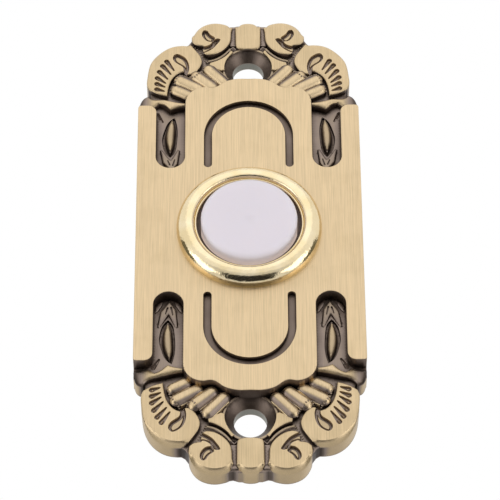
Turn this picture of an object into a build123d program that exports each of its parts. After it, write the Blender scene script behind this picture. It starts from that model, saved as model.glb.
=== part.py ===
from build123d import *
import os

# A lit doorbell push on a carved plate.  The plate stands upright with its flat back on the plane
# Y = 0, its front looks towards -Y, X runs across it and Z up.  The origin is the middle of the back.

# Plate
plate_width = 38.0
plate_thickness = 5.55
screw_spacing = 72.1
screw_hole_diameter = 5.35
countersink_diameter = 8.3
countersink_rim_depth = 1.95
countersink_cone_start = 2.1
countersink_cone_end = 3.85
rim_pad_width = 0.4
back_rim_width = 1.9
back_hollow_depth = 1.85
screw_boss_diameter = 11.0

# Levels of the carving, all measured down from the brushed face
ground_depth = 2.5
lobe_depth = 1.5
collar_depth = 1.0
collar_outer_depth = 2.1
rib_depth = 1.0
leaf_depth = 1.45
leaf_tip_depth = 1.1
lobe_edge_radius = 0.4
leaf_edge_radius = 0.5
incision_depth = 2.4
flute_depth = 2.1

# Middle panel, side channels and arched grooves in the brushed face
wing_width = 3.17
channel_width = 4.96
channel_start = 12.82
shoulder_radius = 3.47
groove_width = 1.35
groove_inset = 3.93
groove_start = 12.89
groove_depth = 0.9
groove_arch_offset = -16.45
wing_corner_radius = 0.6
wing_inner_radius = 1.5
wing_end_inset = 9.7
panel_end_inset = 3.9
shoulder_inset = 9.15
flute_width = 0.7
corner_match = 0.01
cut_overshoot = 1.0

# Bezel ring
bezel_diameter = 24.3
bezel_height = 2.35
bezel_opening_diameter = 17.6
bezel_edge_height = 0.35
bezel_lip_width = 0.95
bezel_foot_width = 1.25
bezel_lip_roll = 0.8

# Push button
cap_diameter = 16.1
cap_height = 3.25
cap_crown = 0.22
cap_edge_radius = 0.8
cap_wall = 1.2
cap_face_thickness = 1.4
skirt_reach = 4.0
button_travel = 1.6
hook_length = 1.2
hook_width = 3.0
hook_reach = 1.15
hook_tip_reach = 0.3

# Switch body
skirt_clearance = 0.25
barrel_wall = 1.2
barrel_lead_in = 0.3
lead_in_gap = 0.35
body_flange_thickness = 1.0
flange_clearance = 0.1
bore_clearance = 0.2
floor_front = 3.6
floor_back = 7.0
post_diameter = 5.2
post_front = 0.4
lead_hole_diameter = 0.8
window_clearance = 0.2
hook_stop_gap = 0.05
window_overtravel = 0.35

# Push-on retaining ring
retaining_ring_width = 3.0
retaining_ring_thickness = 0.5
retaining_ring_grip = 0.05
retaining_ring_slits = 8
retaining_slit_width = 0.8
retaining_slit_length = 1.6
slit_start = 22.5

# Contacts and terminals
contact_ring_thickness = 0.6
contact_ring_width = 2.0
contact_ring_inset = 0.15
contact_gap = 0.05
strip_thickness = 0.6
strip_width = 4.0
strip_radius = 7.4
leaf_reach = 1.8
tab_width = 6.0
tab_inner_edge = 1.9
slot_clearance = 0.05
terminal_offset = 5.2
washer_size = 4.6
washer_thickness = 0.6
screw_head_diameter = 4.8
screw_head_height = 1.8
screw_shank_diameter = 3.0
screw_shank_end = 4.3
screw_slot_width = 0.7
screw_slot_depth = 0.9
screw_slot_angle = 35
screw_head_edge_radius = 0.5
screw_end_clearance = 0.1
shank_clearance = 0.06
washer_corner_radius = 0.4

# Spring, lamp and resistor
spring_wire = 0.5
spring_mean_diameter = 7.8
spring_turns = 6
spring_seat_gap = 0.04
lamp_diameter = 3.0
lamp_base_diameter = 3.8
lamp_base_height = 1.0
lamp_length = 5.3
lead_spacing = 2.54
lead_width = 0.5
lead_bend_radius = 0.6
resistor_diameter = 1.6
resistor_length = 3.2
resistor_top = -3.3
resistor_wire_drop = 0.9
resistor_wire_foot = 3.6
resistor_edge_radius = 0.3
lead_lap = 0.75
joint_height = -1.6

# The carved ends are drawn in millimetres on a plate of this half width with its screw hole here;
# they stretch with the width and travel with the hole.
drawn_half_width = 19.0
drawn_hole_height = 36.05

# Worked out from the sizes above
hole_height = screw_spacing / 2
half_width = plate_width / 2
panel_half_width = half_width - wing_width - channel_width
groove_half_span = panel_half_width - groove_inset
barrel_inner_radius = cap_diameter / 2 + skirt_clearance
barrel_radius = barrel_inner_radius + barrel_wall
bore_radius = barrel_radius + bore_clearance
bezel_radius = bezel_diameter / 2
bezel_opening = bezel_opening_diameter / 2
body_flange_radius = bezel_radius - bezel_foot_width
skirt_back = skirt_reach - plate_thickness
cap_inside = -(plate_thickness + cap_height - cap_face_thickness)
screw_hole_radius = screw_shank_diameter / 2 + shank_clearance


def level(height):
    """Drawing plane at a height above the brushed face; negative heights are carved down."""
    return Plane.XZ.offset(plate_thickness + height)


def behind(distance):
    """Drawing plane at a distance behind the back of the plate."""
    return Plane.XZ.offset(-distance)


def at(x, y):
    """A point of the drawn carving, placed on the plate."""
    return (x * half_width / drawn_half_width, y - drawn_hole_height + hole_height)


def placed(points):
    return [at(x, y) for x, y in points]


def outline(*runs):
    """Close an outline from runs of drawn points: each run is one smooth curve as far as the first
    point of the next, and a run of one point is a straight line to it."""
    for index, run in enumerate(runs):
        following = runs[(index + 1) % len(runs)]
        stops = placed(list(run) + [following[0]])
        if len(stops) == 2:
            Line(stops[0], stops[1])
        else:
            Spline(*stops)


def column(top_depth, edge_radius, *runs):
    """One carved lobe, standing from the back of the plate up to its top, its upper edge rounded."""
    with BuildPart(mode=Mode.PRIVATE) as lobe:
        with BuildSketch(Plane.XZ):
            with BuildLine():
                outline(*runs)
            make_face()
        extrude(amount=plate_thickness - top_depth)
        if edge_radius > 0:
            fillet(lobe.faces().sort_by(Axis.Y)[0].edges(), edge_radius)
    return lobe.part


def rounded_outside(lobe, edge_radius):
    """Round only the longest upper edge of a lobe."""
    upper_edges = lobe.faces().sort_by(Axis.Y)[0].edges()
    return fillet(upper_edges.sort_by(SortBy.LENGTH)[-1], edge_radius)


def incision(bottom_depth, *runs):
    """The cutter for a carved stroke."""
    with BuildPart(mode=Mode.PRIVATE) as cutter:
        with BuildSketch(level(-bottom_depth)):
            with BuildLine():
                outline(*runs)
            make_face()
        extrude(amount=bottom_depth)
    return cutter.part


def rib(start, end, width, top_depth):
    """A gadroon: a long round-ended ridge, turned about its own axis, on a straight-sided foot."""
    foot = Vector(*at(*start))
    head = Vector(*at(*end))
    length = (head - foot).length
    radius = width / 2
    frame = level(-top_depth - radius)
    axis_plane = Plane(
        origin=frame.from_local_coords(foot),
        x_dir=frame.from_local_coords(head) - frame.from_local_coords(foot),
        z_dir=Vector(0, -1, 0),
    )
    with BuildPart(mode=Mode.PRIVATE) as ridge:
        with BuildSketch(axis_plane):
            with BuildLine():
                Line((-radius, 0), (length + radius, 0))
                RadiusArc((-radius, 0), (0, radius), radius)
                Line((0, radius), (length, radius))
                RadiusArc((length, radius), (length + radius, 0), radius)
            make_face()
        revolve(axis=Axis(axis_plane.origin, axis_plane.x_dir))
        with BuildSketch(axis_plane):
            with Locations((length / 2, 0)):
                SlotCenterToCenter(length, width)
        extrude(amount=top_depth + radius - plate_thickness)
    return ridge.part


# The carving of one quarter of the plate, mirrored to the other three below.
scroll_outside = [(2.7, 45.0), (3.3, 45.8), (4.4, 46.3), (5.7, 46.5), (7.3, 46.2), (8.6, 45.4), (9.5, 44.1),
                  (9.9, 42.7)]
scroll_tongue = [(9.8, 41.7), (9.3, 41.2), (8.4, 40.9)]
scroll_tip = [(7.9, 40.85), (7.95, 39.6), (7.5, 39.0)]
scroll_inside = [(7.0, 38.8), (6.0, 38.95), (4.9, 39.5), (3.9, 40.4), (3.25, 41.4), (3.0, 42.6)]
scroll_side = [(2.95, 44.0)]

stroke_one = ([(4.8, 42.3), (5.0, 41.85), (5.45, 41.15), (6.05, 40.35), (6.85, 39.7), (7.5, 39.35)],
              [(8.2, 39.2), (8.2, 40.8)],
              [(7.6, 40.75), (6.9, 41.0), (6.4, 41.5), (6.15, 42.1), (5.7, 42.4), (5.2, 42.5)])
stroke_two = ([(6.45, 42.25), (7.0, 42.3), (7.5, 42.7), (7.85, 43.3), (7.85, 44.0)],
              [(7.5, 44.3), (7.1, 44.15), (6.7, 43.6), (6.35, 43.1), (6.1, 42.8)])

shell_outside = [(9.9, 41.0), (10.6, 41.3), (11.8, 41.4), (13.4, 41.1), (15.2, 40.0), (16.5, 38.3),
                 (17.25, 36.2), (17.6, 33.6), (17.6, 31.9)]
shell_foot = [(17.3, 31.1), (16.1, 30.3), (15.0, 29.85)]
shell_lip = [(14.05, 29.6), (13.9, 31.0), (13.55, 32.6), (12.9, 33.9), (12.0, 34.75)]
shell_boss = [(11.2, 35.1), (10.3, 34.4), (9.6, 34.6), (8.6, 35.7), (8.05, 37.2), (8.3, 38.5), (9.0, 39.7)]

eye_stroke = ([(10.65, 34.3), (10.35, 35.3), (10.3, 36.1), (10.5, 37.15), (11.1, 38.25)],
              [(12.0, 38.9), (12.6, 39.0), (13.05, 38.6), (13.15, 37.9)],
              [(12.75, 37.15), (12.05, 36.6), (11.45, 36.1), (11.25, 35.4), (11.2, 34.6)])

middle_lobe = ([(-2.2, 41.0)],
               [(-2.25, 45.1), (-1.35, 46.1), (0.0, 46.4), (1.35, 46.1)],
               [(2.25, 45.1)],
               [(2.2, 41.0)],
               [(1.6, 40.1)],
               [(-1.6, 40.1)])

web = ([(2.6, 39.5), (3.4, 38.35), (3.9, 37.0)],
       [(4.1, 35.5)],
       [(4.7, 35.3), (5.9, 35.8), (7.0, 36.5)],
       [(6.8, 37.15), (5.7, 37.5), (4.5, 38.3), (3.6, 39.3)],
       [(3.0, 40.1)])

# Each flute of the shell: centre across, centre up, slope in degrees, length.
flutes = [(15.35, 30.9, 20, 1.7), (15.3, 31.95, 26, 2.0), (15.25, 33.1, 38, 2.3), (14.9, 34.3, 48, 2.6),
          (14.35, 35.5, 52, 2.8), (13.7, 36.45, 56, 2.9)]

# Each gadroon: lower end, upper end, width.
gadroons = [((10.6, 29.9), (12.4, 30.85), 2.1), ((8.7, 31.2), (11.8, 33.0), 2.15),
            ((6.3, 31.6), (8.9, 33.9), 2.1), ((4.3, 32.6), (6.8, 35.4), 1.9)]

collar = ([(10.5, 27.2), (12.3, 27.35), (13.5, 27.65), (15.0, 28.2), (16.2, 28.7)],
          [(17.3, 30.0), (18.2, 29.6), (18.8, 28.5)],
          [(19.0, 27.0)],
          [(16.6, 26.9)],
          [(15.5, 27.7), (14.5, 27.3), (13.8, 26.6)],
          [(13.4, 26.25), (12.2, 26.7)],
          [(10.5, 27.0)])

collar_slope_start = 14.5

leaf = ([(13.1, 25.2), (12.65, 24.1), (12.65, 21.2), (12.85, 19.0)],
        [(13.45, 17.3), (14.05, 18.8), (14.3, 21.0), (13.95, 23.0), (13.5, 24.4)])

leaf_tip = ([(11.7, 18.3)], [(12.1, 15.1)], [(13.2, 13.4)], [(14.75, 15.5)], [(15.3, 18.4)],
            [(14.8, 18.5)], [(13.35, 16.0)], [(12.2, 18.6)])

hollow_step = 26.0
back_hollow = [(16.0, 29.0), (15.5, 32.0), (15.3, 34.5), (14.2, 37.3), (11.6, 39.0), (8.6, 39.6),
               (7.7, 42.0), (6.4, 44.0), (4.0, 44.2), (2.7, 42.9), (0.0, 43.6)]

# Ground of one carved quarter, just inside the lobes that stand round its edge.
ground_edge = [(0, 25.5), (18.5, 25.5), (18.5, 28.2), (17.0, 29.8), (17.0, 32.0), (16.6, 35.5),
               (15.6, 38.2), (13.6, 40.4), (11.4, 41.1), (10.4, 41.8), (9.7, 43.0), (8.0, 44.7),
               (5.6, 45.7), (3.4, 45.75), (2.8, 45.65), (1.9, 46.0), (0, 46.2)]

scroll = rounded_outside(
    column(lobe_depth, 0, scroll_outside, scroll_tongue, scroll_tip, scroll_inside, scroll_side),
    lobe_edge_radius,
)

with BuildPart() as quarter:
    with BuildSketch(Plane.XZ):
        with BuildLine():
            Polyline(*placed(ground_edge), close=True)
        make_face()
    extrude(amount=plate_thickness - ground_depth)
    add([scroll,
         column(lobe_depth, lobe_edge_radius, shell_outside, shell_foot, shell_lip, shell_boss),
         column(lobe_depth, 0, *web),
         column(leaf_depth, leaf_edge_radius, *leaf),
         column(leaf_tip_depth, 0, *leaf_tip)]
        + [rib(start, end, width, rib_depth) for start, end, width in gadroons])
    add([incision(incision_depth, *stroke) for stroke in (stroke_one, stroke_two, eye_stroke)],
        mode=Mode.SUBTRACT)
    with BuildSketch(level(-flute_depth)):
        for across, up, slope, length in flutes:
            with Locations(at(across, up)):
                SlotOverall(length, flute_width, rotation=slope)
    extrude(amount=flute_depth, mode=Mode.SUBTRACT)

# The collar falls away towards the side of the plate: its top is cut by a tilted plane.
with BuildPart() as band:
    add(column(collar_depth, 0, *collar))
    high = level(-collar_depth).from_local_coords(at(collar_slope_start, drawn_hole_height))
    low = level(-collar_outer_depth).from_local_coords(at(drawn_half_width, drawn_hole_height))
    slope_normal = (low - high).cross(Vector(0, 0, 1)).normalized()
    split(bisect_by=Plane(origin=high, x_dir=(0, 0, 1), z_dir=slope_normal), keep=Keep.BOTTOM)

with BuildPart() as carved_ends:
    add(quarter.part)
    add(band.part)
    mirror(about=Plane.YZ)
    add(column(lobe_depth, lobe_edge_radius, *middle_lobe))
    with BuildSketch(level(-ground_depth)):
        with Locations((0, hole_height)):
            Circle(countersink_diameter / 2 + rim_pad_width)
    extrude(amount=ground_depth - countersink_rim_depth)
    mirror(about=Plane.XY)

# The shaped end of the panel: distance across, rise from its end.
panel_crest = [(6.3, -1.95), (5.4, -1.65), (4.4, -0.85), (3.3, -0.3), (2.0, 0), (0, 0)]

channel_centre = panel_half_width + channel_width / 2
channel_outer = panel_half_width + channel_width
channel_round = channel_start + channel_width / 2
wing_end = hole_height - wing_end_inset
panel_end = hole_height - panel_end_inset
shoulder_centre = (panel_half_width - shoulder_radius, hole_height - shoulder_inset)
shoulder_top = (shoulder_centre[0], shoulder_centre[1] + shoulder_radius)

hollow_side = half_width - back_rim_width
hole_radius = screw_hole_diameter / 2
countersink_radius = countersink_diameter / 2

with BuildPart() as openings:
    # Countersunk screw holes.
    for height in (hole_height, -hole_height):
        with BuildSketch(Plane.YZ):
            with BuildLine():
                Polyline((-plate_thickness - cut_overshoot, height),
                         (-plate_thickness - cut_overshoot, height + countersink_radius),
                         (countersink_cone_start - plate_thickness, height + countersink_radius),
                         (countersink_cone_end - plate_thickness, height + hole_radius),
                         (cut_overshoot, height + hole_radius), (cut_overshoot, height), close=True)
            make_face()
        revolve(axis=Axis((0, 0, height), (0, 1, 0)))

    # Hollow back, with a boss left standing round each screw hole.
    with BuildSketch(Plane.XZ):
        with BuildLine():
            Polyline((0, 0), (hollow_side, 0), (hollow_side, at(0, hollow_step)[1]), *placed(back_hollow),
                     close=True)
        make_face()
        mirror(about=Plane.YZ)
        mirror(about=Plane.XZ)
        with Locations((0, hole_height), (0, -hole_height)):
            Circle(screw_boss_diameter / 2, mode=Mode.SUBTRACT)
    extrude(amount=back_hollow_depth)

    # Bore for the switch body.
    with BuildSketch(Plane.XZ):
        Circle(bore_radius)
    extrude(amount=plate_thickness)

with BuildPart() as face_plate:
    with BuildSketch(Plane.XZ):
        Rectangle(plate_width, 2 * wing_end)
    extrude(amount=plate_thickness - ground_depth)

    # The brushed face: side wings, channels between, and the middle panel with its shaped ends.
    with BuildSketch(level(-ground_depth)) as brushed:
        Rectangle(plate_width, 2 * wing_end)
        fillet(brushed.vertices(), wing_corner_radius)
        for side in (-1, 1):
            for end in (-1, 1):
                with Locations((side * channel_centre, end * channel_round)):
                    Circle(channel_width / 2, mode=Mode.SUBTRACT)
                with Locations((side * channel_centre, end * (wing_end + channel_round) / 2)):
                    Rectangle(channel_width, wing_end - channel_round, mode=Mode.SUBTRACT)
        wing_corners = [corner for corner in brushed.vertices()
                        if abs(abs(corner.X) - channel_outer) < corner_match
                        and abs(abs(corner.Y) - wing_end) < corner_match]
        fillet(wing_corners, wing_inner_radius)
        with BuildLine():
            Line((0, 0), (panel_half_width, 0))
            Line((panel_half_width, 0), (panel_half_width, shoulder_centre[1]))
            RadiusArc((panel_half_width, shoulder_centre[1]), shoulder_top, -shoulder_radius)
            Spline(shoulder_top, *[(across, panel_end + rise) for across, rise in panel_crest],
                   tangents=[(-1, 0), (-1, 0)])
            Line((0, panel_end), (0, 0))
        make_face()
        mirror(about=Plane.YZ)
        mirror(about=Plane.XZ)
    extrude(amount=ground_depth)

    # Arched grooves.
    arch_centre = hole_height + groove_arch_offset
    inner = groove_half_span - groove_width / 2
    outer = groove_half_span + groove_width / 2
    leg_start = groove_start + groove_width / 2
    with BuildSketch(level(0)):
        with BuildLine():
            Line((outer, leg_start), (outer, arch_centre))
            ThreePointArc((outer, arch_centre), (0, arch_centre + outer), (-outer, arch_centre))
            Line((-outer, arch_centre), (-outer, leg_start))
            ThreePointArc((-outer, leg_start), (-groove_half_span, groove_start), (-inner, leg_start))
            Line((-inner, leg_start), (-inner, arch_centre))
            ThreePointArc((-inner, arch_centre), (0, arch_centre + inner), (inner, arch_centre))
            Line((inner, arch_centre), (inner, leg_start))
            ThreePointArc((inner, leg_start), (groove_half_span, groove_start), (outer, leg_start))
        make_face()
        mirror(about=Plane.XZ)
    extrude(amount=-groove_depth, mode=Mode.SUBTRACT)
    add(carved_ends.part)
    add(openings.part, mode=Mode.SUBTRACT)
face_plate.part.label = "face_plate"

# Bezel ring: a rolled lip, hollow underneath for the flange of the switch body.
bezel_crest_radius = bezel_opening + bezel_lip_width
quarter_turn = 90
with BuildPart() as bezel_ring:
    with BuildSketch(Plane.XY):
        with BuildLine():
            face = -plate_thickness
            pocket = body_flange_radius + flange_clearance
            Line((bezel_radius, face), (bezel_radius, face - bezel_edge_height))
            EllipticalCenterArc((bezel_crest_radius, face - bezel_edge_height),
                                bezel_radius - bezel_crest_radius, bezel_height - bezel_edge_height,
                                270, arc_size=quarter_turn)
            EllipticalCenterArc((bezel_crest_radius, face - bezel_height + bezel_lip_roll),
                                bezel_lip_width, bezel_lip_roll, 180, arc_size=quarter_turn)
            Polyline((bezel_opening, face - bezel_height + bezel_lip_roll),
                     (bezel_opening, face - body_flange_thickness), (pocket, face - body_flange_thickness),
                     (pocket, face), (bezel_radius, face))
        make_face()
    revolve(axis=Axis.Y)
bezel_ring.part.label = "bezel_ring"

# Push button: a translucent cup with a crowned face and two snap hooks on its skirt.
cap_radius = cap_diameter / 2
cap_front = -(plate_thickness + cap_height)
crown_radius = (cap_radius ** 2 + cap_crown ** 2) / (2 * cap_crown)
with BuildPart() as push_button:
    with BuildSketch(Plane.XY) as cap_section:
        with BuildLine():
            RadiusArc((0, cap_front - cap_crown), (cap_radius, cap_front), -crown_radius)
            Polyline((cap_radius, cap_front), (cap_radius, skirt_back), (cap_radius - cap_wall, skirt_back),
                     (cap_radius - cap_wall, cap_inside), (0, cap_inside), (0, cap_front - cap_crown))
        make_face()
        fillet(cap_section.vertices().group_by(Axis.X)[-1].sort_by(Axis.Y)[0], cap_edge_radius)
    revolve(axis=Axis.Y)
    with BuildSketch(Plane.YZ):
        with BuildLine():
            Polyline((skirt_back, cap_radius - cap_wall / 2), (skirt_back, cap_radius + hook_tip_reach),
                     (skirt_back - hook_length / 2, cap_radius + hook_reach),
                     (skirt_back - hook_length, cap_radius + hook_reach),
                     (skirt_back - hook_length, cap_radius - cap_wall / 2), close=True)
        make_face()
        mirror(about=Plane.XZ)
    extrude(amount=hook_width / 2, both=True)
push_button.part.label = "push_button"

# Switch body: flange, barrel, floor and lamp post in one moulding.  Behind the retaining ring the
# barrel is a little smaller, so that the ring slides up to it easily.
lead_in_front = retaining_ring_thickness - back_hollow_depth + lead_in_gap
rear_barrel_radius = barrel_radius - barrel_lead_in
with BuildPart() as switch_body:
    with BuildSketch(Plane.XY):
        with BuildLine():
            Polyline((barrel_inner_radius, -plate_thickness - body_flange_thickness),
                     (body_flange_radius, -plate_thickness - body_flange_thickness),
                     (body_flange_radius, -plate_thickness), (barrel_radius, -plate_thickness),
                     (barrel_radius, lead_in_front), (rear_barrel_radius, lead_in_front),
                     (rear_barrel_radius, floor_back), (0, floor_back), (0, post_front),
                     (post_diameter / 2, post_front), (post_diameter / 2, floor_front),
                     (barrel_inner_radius, floor_front), close=True)
        make_face()
    revolve(axis=Axis.Y)
    window_front = skirt_back - hook_length - hook_stop_gap
    window_back = skirt_back + button_travel + window_overtravel
    with BuildSketch(Plane.XY):
        with Locations((0, (window_front + window_back) / 2)):
            Rectangle(hook_width + 2 * window_clearance, window_back - window_front)
    extrude(amount=barrel_radius + cut_overshoot, both=True, mode=Mode.SUBTRACT)
    with BuildSketch(behind(floor_back)):
        with Locations((strip_radius, 0), (-strip_radius, 0)):
            Rectangle(strip_thickness + 2 * slot_clearance, strip_width + 2 * slot_clearance)
    extrude(amount=floor_back - floor_front, mode=Mode.SUBTRACT)
    with BuildSketch(behind(floor_back)):
        with Locations((lead_spacing / 2, 0), (-lead_spacing / 2, 0)):
            Circle(lead_hole_diameter / 2)
    extrude(amount=floor_back - post_front, mode=Mode.SUBTRACT)
    with BuildSketch(behind(floor_back)):
        with Locations((terminal_offset, 0), (-terminal_offset, 0)):
            Circle(screw_hole_radius)
    extrude(amount=floor_back - screw_shank_end + screw_end_clearance, mode=Mode.SUBTRACT)
switch_body.part.label = "switch_body"

# Retaining ring: pushed over the barrel from behind until it lies on the floor of the hollow back.
grip_radius = barrel_radius + retaining_ring_grip
with BuildPart() as retaining_ring:
    with BuildSketch(Plane.XZ.offset(back_hollow_depth)):
        Circle(barrel_radius + retaining_ring_width)
        Circle(grip_radius, mode=Mode.SUBTRACT)
        with PolarLocations(grip_radius, retaining_ring_slits, start_angle=slit_start):
            SlotOverall(2 * retaining_slit_length, retaining_slit_width, mode=Mode.SUBTRACT)
    extrude(amount=-retaining_ring_thickness)
retaining_ring.part.label = "retaining_ring"

# Contact ring: a brass washer on the rear end of the skirt.
contact_outer = cap_radius - contact_ring_inset
with BuildPart() as contact_ring:
    with BuildSketch(behind(skirt_back)):
        Circle(contact_outer)
        Circle(contact_outer - contact_ring_width, mode=Mode.SUBTRACT)
    extrude(amount=-contact_ring_thickness)
contact_ring.part.label = "contact_ring"

# Return spring, between the floor and the inside of the cap.
spring_back = floor_front - spring_seat_gap - spring_wire / 2
spring_front = cap_inside + spring_seat_gap + spring_wire / 2
spring_length = spring_back - spring_front
with BuildPart() as return_spring:
    with BuildLine() as coil:
        Helix(pitch=spring_length / spring_turns, height=spring_length, radius=spring_mean_diameter / 2,
              center=(0, spring_back, 0), direction=(0, -1, 0))
    with BuildSketch(coil.line ^ 0):
        Circle(spring_wire / 2)
    sweep(is_frenet=True)
return_spring.part.label = "return_spring"

# Lamp, standing on the post.
lamp_radius = lamp_diameter / 2
lamp_tip = post_front - lamp_length
with BuildPart() as led_lamp:
    with BuildSketch(Plane.XY):
        with BuildLine():
            Polyline((0, post_front), (lamp_base_diameter / 2, post_front),
                     (lamp_base_diameter / 2, post_front - lamp_base_height),
                     (lamp_radius, post_front - lamp_base_height), (lamp_radius, lamp_tip + lamp_radius))
            RadiusArc((lamp_radius, lamp_tip + lamp_radius), (0, lamp_tip), lamp_radius)
            Line((0, lamp_tip), (0, post_front))
        make_face()
    revolve(axis=Axis.Y)
led_lamp.part.label = "led_lamp"

# Terminals: strip, screw and washer on each side, the same but for the hand.
contact_plane = skirt_back + contact_ring_thickness + button_travel + contact_gap
tab_back = floor_back + strip_thickness
strip_outer = strip_radius + strip_thickness / 2
wire_plane = tab_back + lead_width / 2
head_seat = tab_back + washer_thickness
terminals = []
for side, hand in ((-1, "left"), (1, "right")):
    with BuildPart() as contact_strip:
        with BuildSketch(Plane.XY):
            with Locations((side * strip_radius, (contact_plane + tab_back) / 2)):
                Rectangle(strip_thickness, tab_back - contact_plane)
            with Locations((side * (strip_outer - leaf_reach / 2), contact_plane + strip_thickness / 2)):
                Rectangle(leaf_reach, strip_thickness)
        extrude(amount=strip_width / 2, both=True)
        with BuildSketch(Plane.XY):
            with Locations((side * (tab_inner_edge + strip_outer) / 2, floor_back + strip_thickness / 2)):
                Rectangle(strip_outer - tab_inner_edge, strip_thickness)
        extrude(amount=tab_width / 2, both=True)
        with BuildSketch(behind(floor_back)):
            with Locations((side * terminal_offset, 0)):
                Circle(screw_hole_radius)
        extrude(amount=-strip_thickness, mode=Mode.SUBTRACT)
    contact_strip.part.label = "contact_strip_" + hand

    with BuildPart() as clamp_washer:
        with BuildSketch(behind(tab_back)):
            with Locations((side * terminal_offset, 0)):
                RectangleRounded(washer_size, washer_size, washer_corner_radius)
                Circle(screw_hole_radius, mode=Mode.SUBTRACT)
        extrude(amount=-washer_thickness)
    clamp_washer.part.label = "clamp_washer_" + hand

    with BuildPart() as terminal_screw:
        with BuildSketch(behind(head_seat)):
            with Locations((side * terminal_offset, 0)):
                Circle(screw_head_diameter / 2)
        extrude(amount=-screw_head_height)
        fillet(terminal_screw.faces().sort_by(Axis.Y)[-1].edges(), screw_head_edge_radius)
        with BuildSketch(behind(head_seat + screw_head_height)):
            with Locations((side * terminal_offset, 0)):
                Rectangle(screw_head_diameter + cut_overshoot, screw_slot_width, rotation=screw_slot_angle)
        extrude(amount=screw_slot_depth, mode=Mode.SUBTRACT)
        with BuildSketch(behind(head_seat)):
            with Locations((side * terminal_offset, 0)):
                Circle(screw_shank_diameter / 2)
        extrude(amount=head_seat - screw_shank_end)
    terminal_screw.part.label = "terminal_screw_" + hand
    terminals += [contact_strip.part, clamp_washer.part, terminal_screw.part]

# Lamp legs: the left one turns onto its tab, the right one down to the resistor.
lead_x = lead_spacing / 2
with BuildPart() as led_lead_left:
    with BuildLine() as left_path:
        FilletPolyline((-lead_x, post_front), (-lead_x, wire_plane),
                       (-tab_inner_edge - lead_lap, wire_plane), radius=lead_bend_radius)
    with BuildSketch(left_path.line ^ 0):
        Rectangle(lead_width, lead_width)
    sweep()
led_lead_left.part.label = "led_lead_left"

with BuildPart() as led_lead_right:
    with BuildLine() as right_path:
        FilletPolyline((lead_x, post_front, 0), (lead_x, wire_plane, 0), (lead_x, wire_plane, joint_height),
                       radius=lead_bend_radius)
    with BuildSketch(right_path.line ^ 0):
        Rectangle(lead_width, lead_width)
    sweep()
led_lead_right.part.label = "led_lead_right"

# Resistor and its legs, hanging below the lamp leg on the back of the floor.
resistor_foot = resistor_top - resistor_length
with BuildPart() as resistor:
    with BuildSketch(Plane.XY.offset(resistor_top)):
        with Locations((lead_x, wire_plane)):
            Circle(resistor_diameter / 2)
    extrude(amount=-resistor_length)
    fillet(resistor.edges().filter_by(GeomType.CIRCLE), resistor_edge_radius)
resistor.part.label = "resistor"

with BuildPart() as resistor_wire_upper:
    with BuildSketch(Plane.XY.offset(joint_height)):
        with Locations((lead_x, wire_plane)):
            Circle(lead_width / 2)
    extrude(amount=resistor_top - joint_height)
resistor_wire_upper.part.label = "resistor_wire_upper"

with BuildPart() as resistor_wire_lower:
    with BuildLine() as lower_path:
        FilletPolyline((lead_x, wire_plane, resistor_foot),
                       (lead_x, wire_plane, resistor_foot - resistor_wire_drop),
                       (resistor_wire_foot, wire_plane, resistor_foot - resistor_wire_drop),
                       (resistor_wire_foot, wire_plane, lead_lap - tab_width / 2), radius=lead_bend_radius)
    with BuildSketch(lower_path.line ^ 0):
        Circle(lead_width / 2)
    sweep()
resistor_wire_lower.part.label = "resistor_wire_lower"

os.makedirs("parts", exist_ok=True)
export_step(face_plate.part, "parts/face_plate.step")
export_step(bezel_ring.part, "parts/bezel_ring.step")
export_step(push_button.part, "parts/push_button.step")
export_step(switch_body.part, "parts/switch_body.step")
export_step(retaining_ring.part, "parts/retaining_ring.step")
export_step(contact_ring.part, "parts/contact_ring.step")
export_step(return_spring.part, "parts/return_spring.step")
export_step(led_lamp.part, "parts/led_lamp.step")
export_step(led_lead_left.part, "parts/led_lead_left.step")
export_step(led_lead_right.part, "parts/led_lead_right.step")
export_step(resistor.part, "parts/resistor.step")
export_step(resistor_wire_upper.part, "parts/resistor_wire_upper.step")
export_step(resistor_wire_lower.part, "parts/resistor_wire_lower.step")
for terminal in terminals:
    export_step(terminal, "parts/" + terminal.label + ".step")
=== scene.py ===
# %% [markdown]
# # A lit doorbell push on a carved brass plate
# The object is a brass plate about as long as a finger and a half, cast with scrolls, shells and
# leaves at both ends, then darkened all over and brushed, so that only the high places are bright.
# A rolled bezel ring and a milk-white push button sit in its middle.  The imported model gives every
# piece its place; this file gives the pieces their finish, and the plate its finer carving.

# %% Load the frame
import math
import bmesh
import bpy
import numpy as np
from mathutils import Matrix, Vector
from mathutils.geometry import delaunay_2d_cdt


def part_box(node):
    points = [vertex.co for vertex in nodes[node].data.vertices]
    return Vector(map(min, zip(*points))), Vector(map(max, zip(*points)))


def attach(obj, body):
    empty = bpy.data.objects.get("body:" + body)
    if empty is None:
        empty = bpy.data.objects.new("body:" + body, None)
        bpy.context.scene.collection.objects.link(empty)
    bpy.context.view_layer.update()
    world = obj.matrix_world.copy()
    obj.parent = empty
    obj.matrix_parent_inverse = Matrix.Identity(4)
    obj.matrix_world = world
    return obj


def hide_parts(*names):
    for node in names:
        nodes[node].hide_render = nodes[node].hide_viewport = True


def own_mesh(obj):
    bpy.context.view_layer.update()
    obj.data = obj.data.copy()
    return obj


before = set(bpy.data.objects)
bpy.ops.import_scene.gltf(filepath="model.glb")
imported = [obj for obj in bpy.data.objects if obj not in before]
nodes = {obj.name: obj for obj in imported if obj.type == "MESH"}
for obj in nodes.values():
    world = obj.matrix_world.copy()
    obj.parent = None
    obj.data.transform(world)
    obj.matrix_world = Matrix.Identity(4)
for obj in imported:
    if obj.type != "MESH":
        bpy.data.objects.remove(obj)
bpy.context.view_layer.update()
MM = 0.001

# %% [markdown]
# ## Camera
# The plate stands upright and is seen from below its middle through a long lens, which is why its
# lower end looks wider than its upper end.  The camera's place was worked out from the corners of
# the plate, so it is given here as a position and a line of sight.

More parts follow.
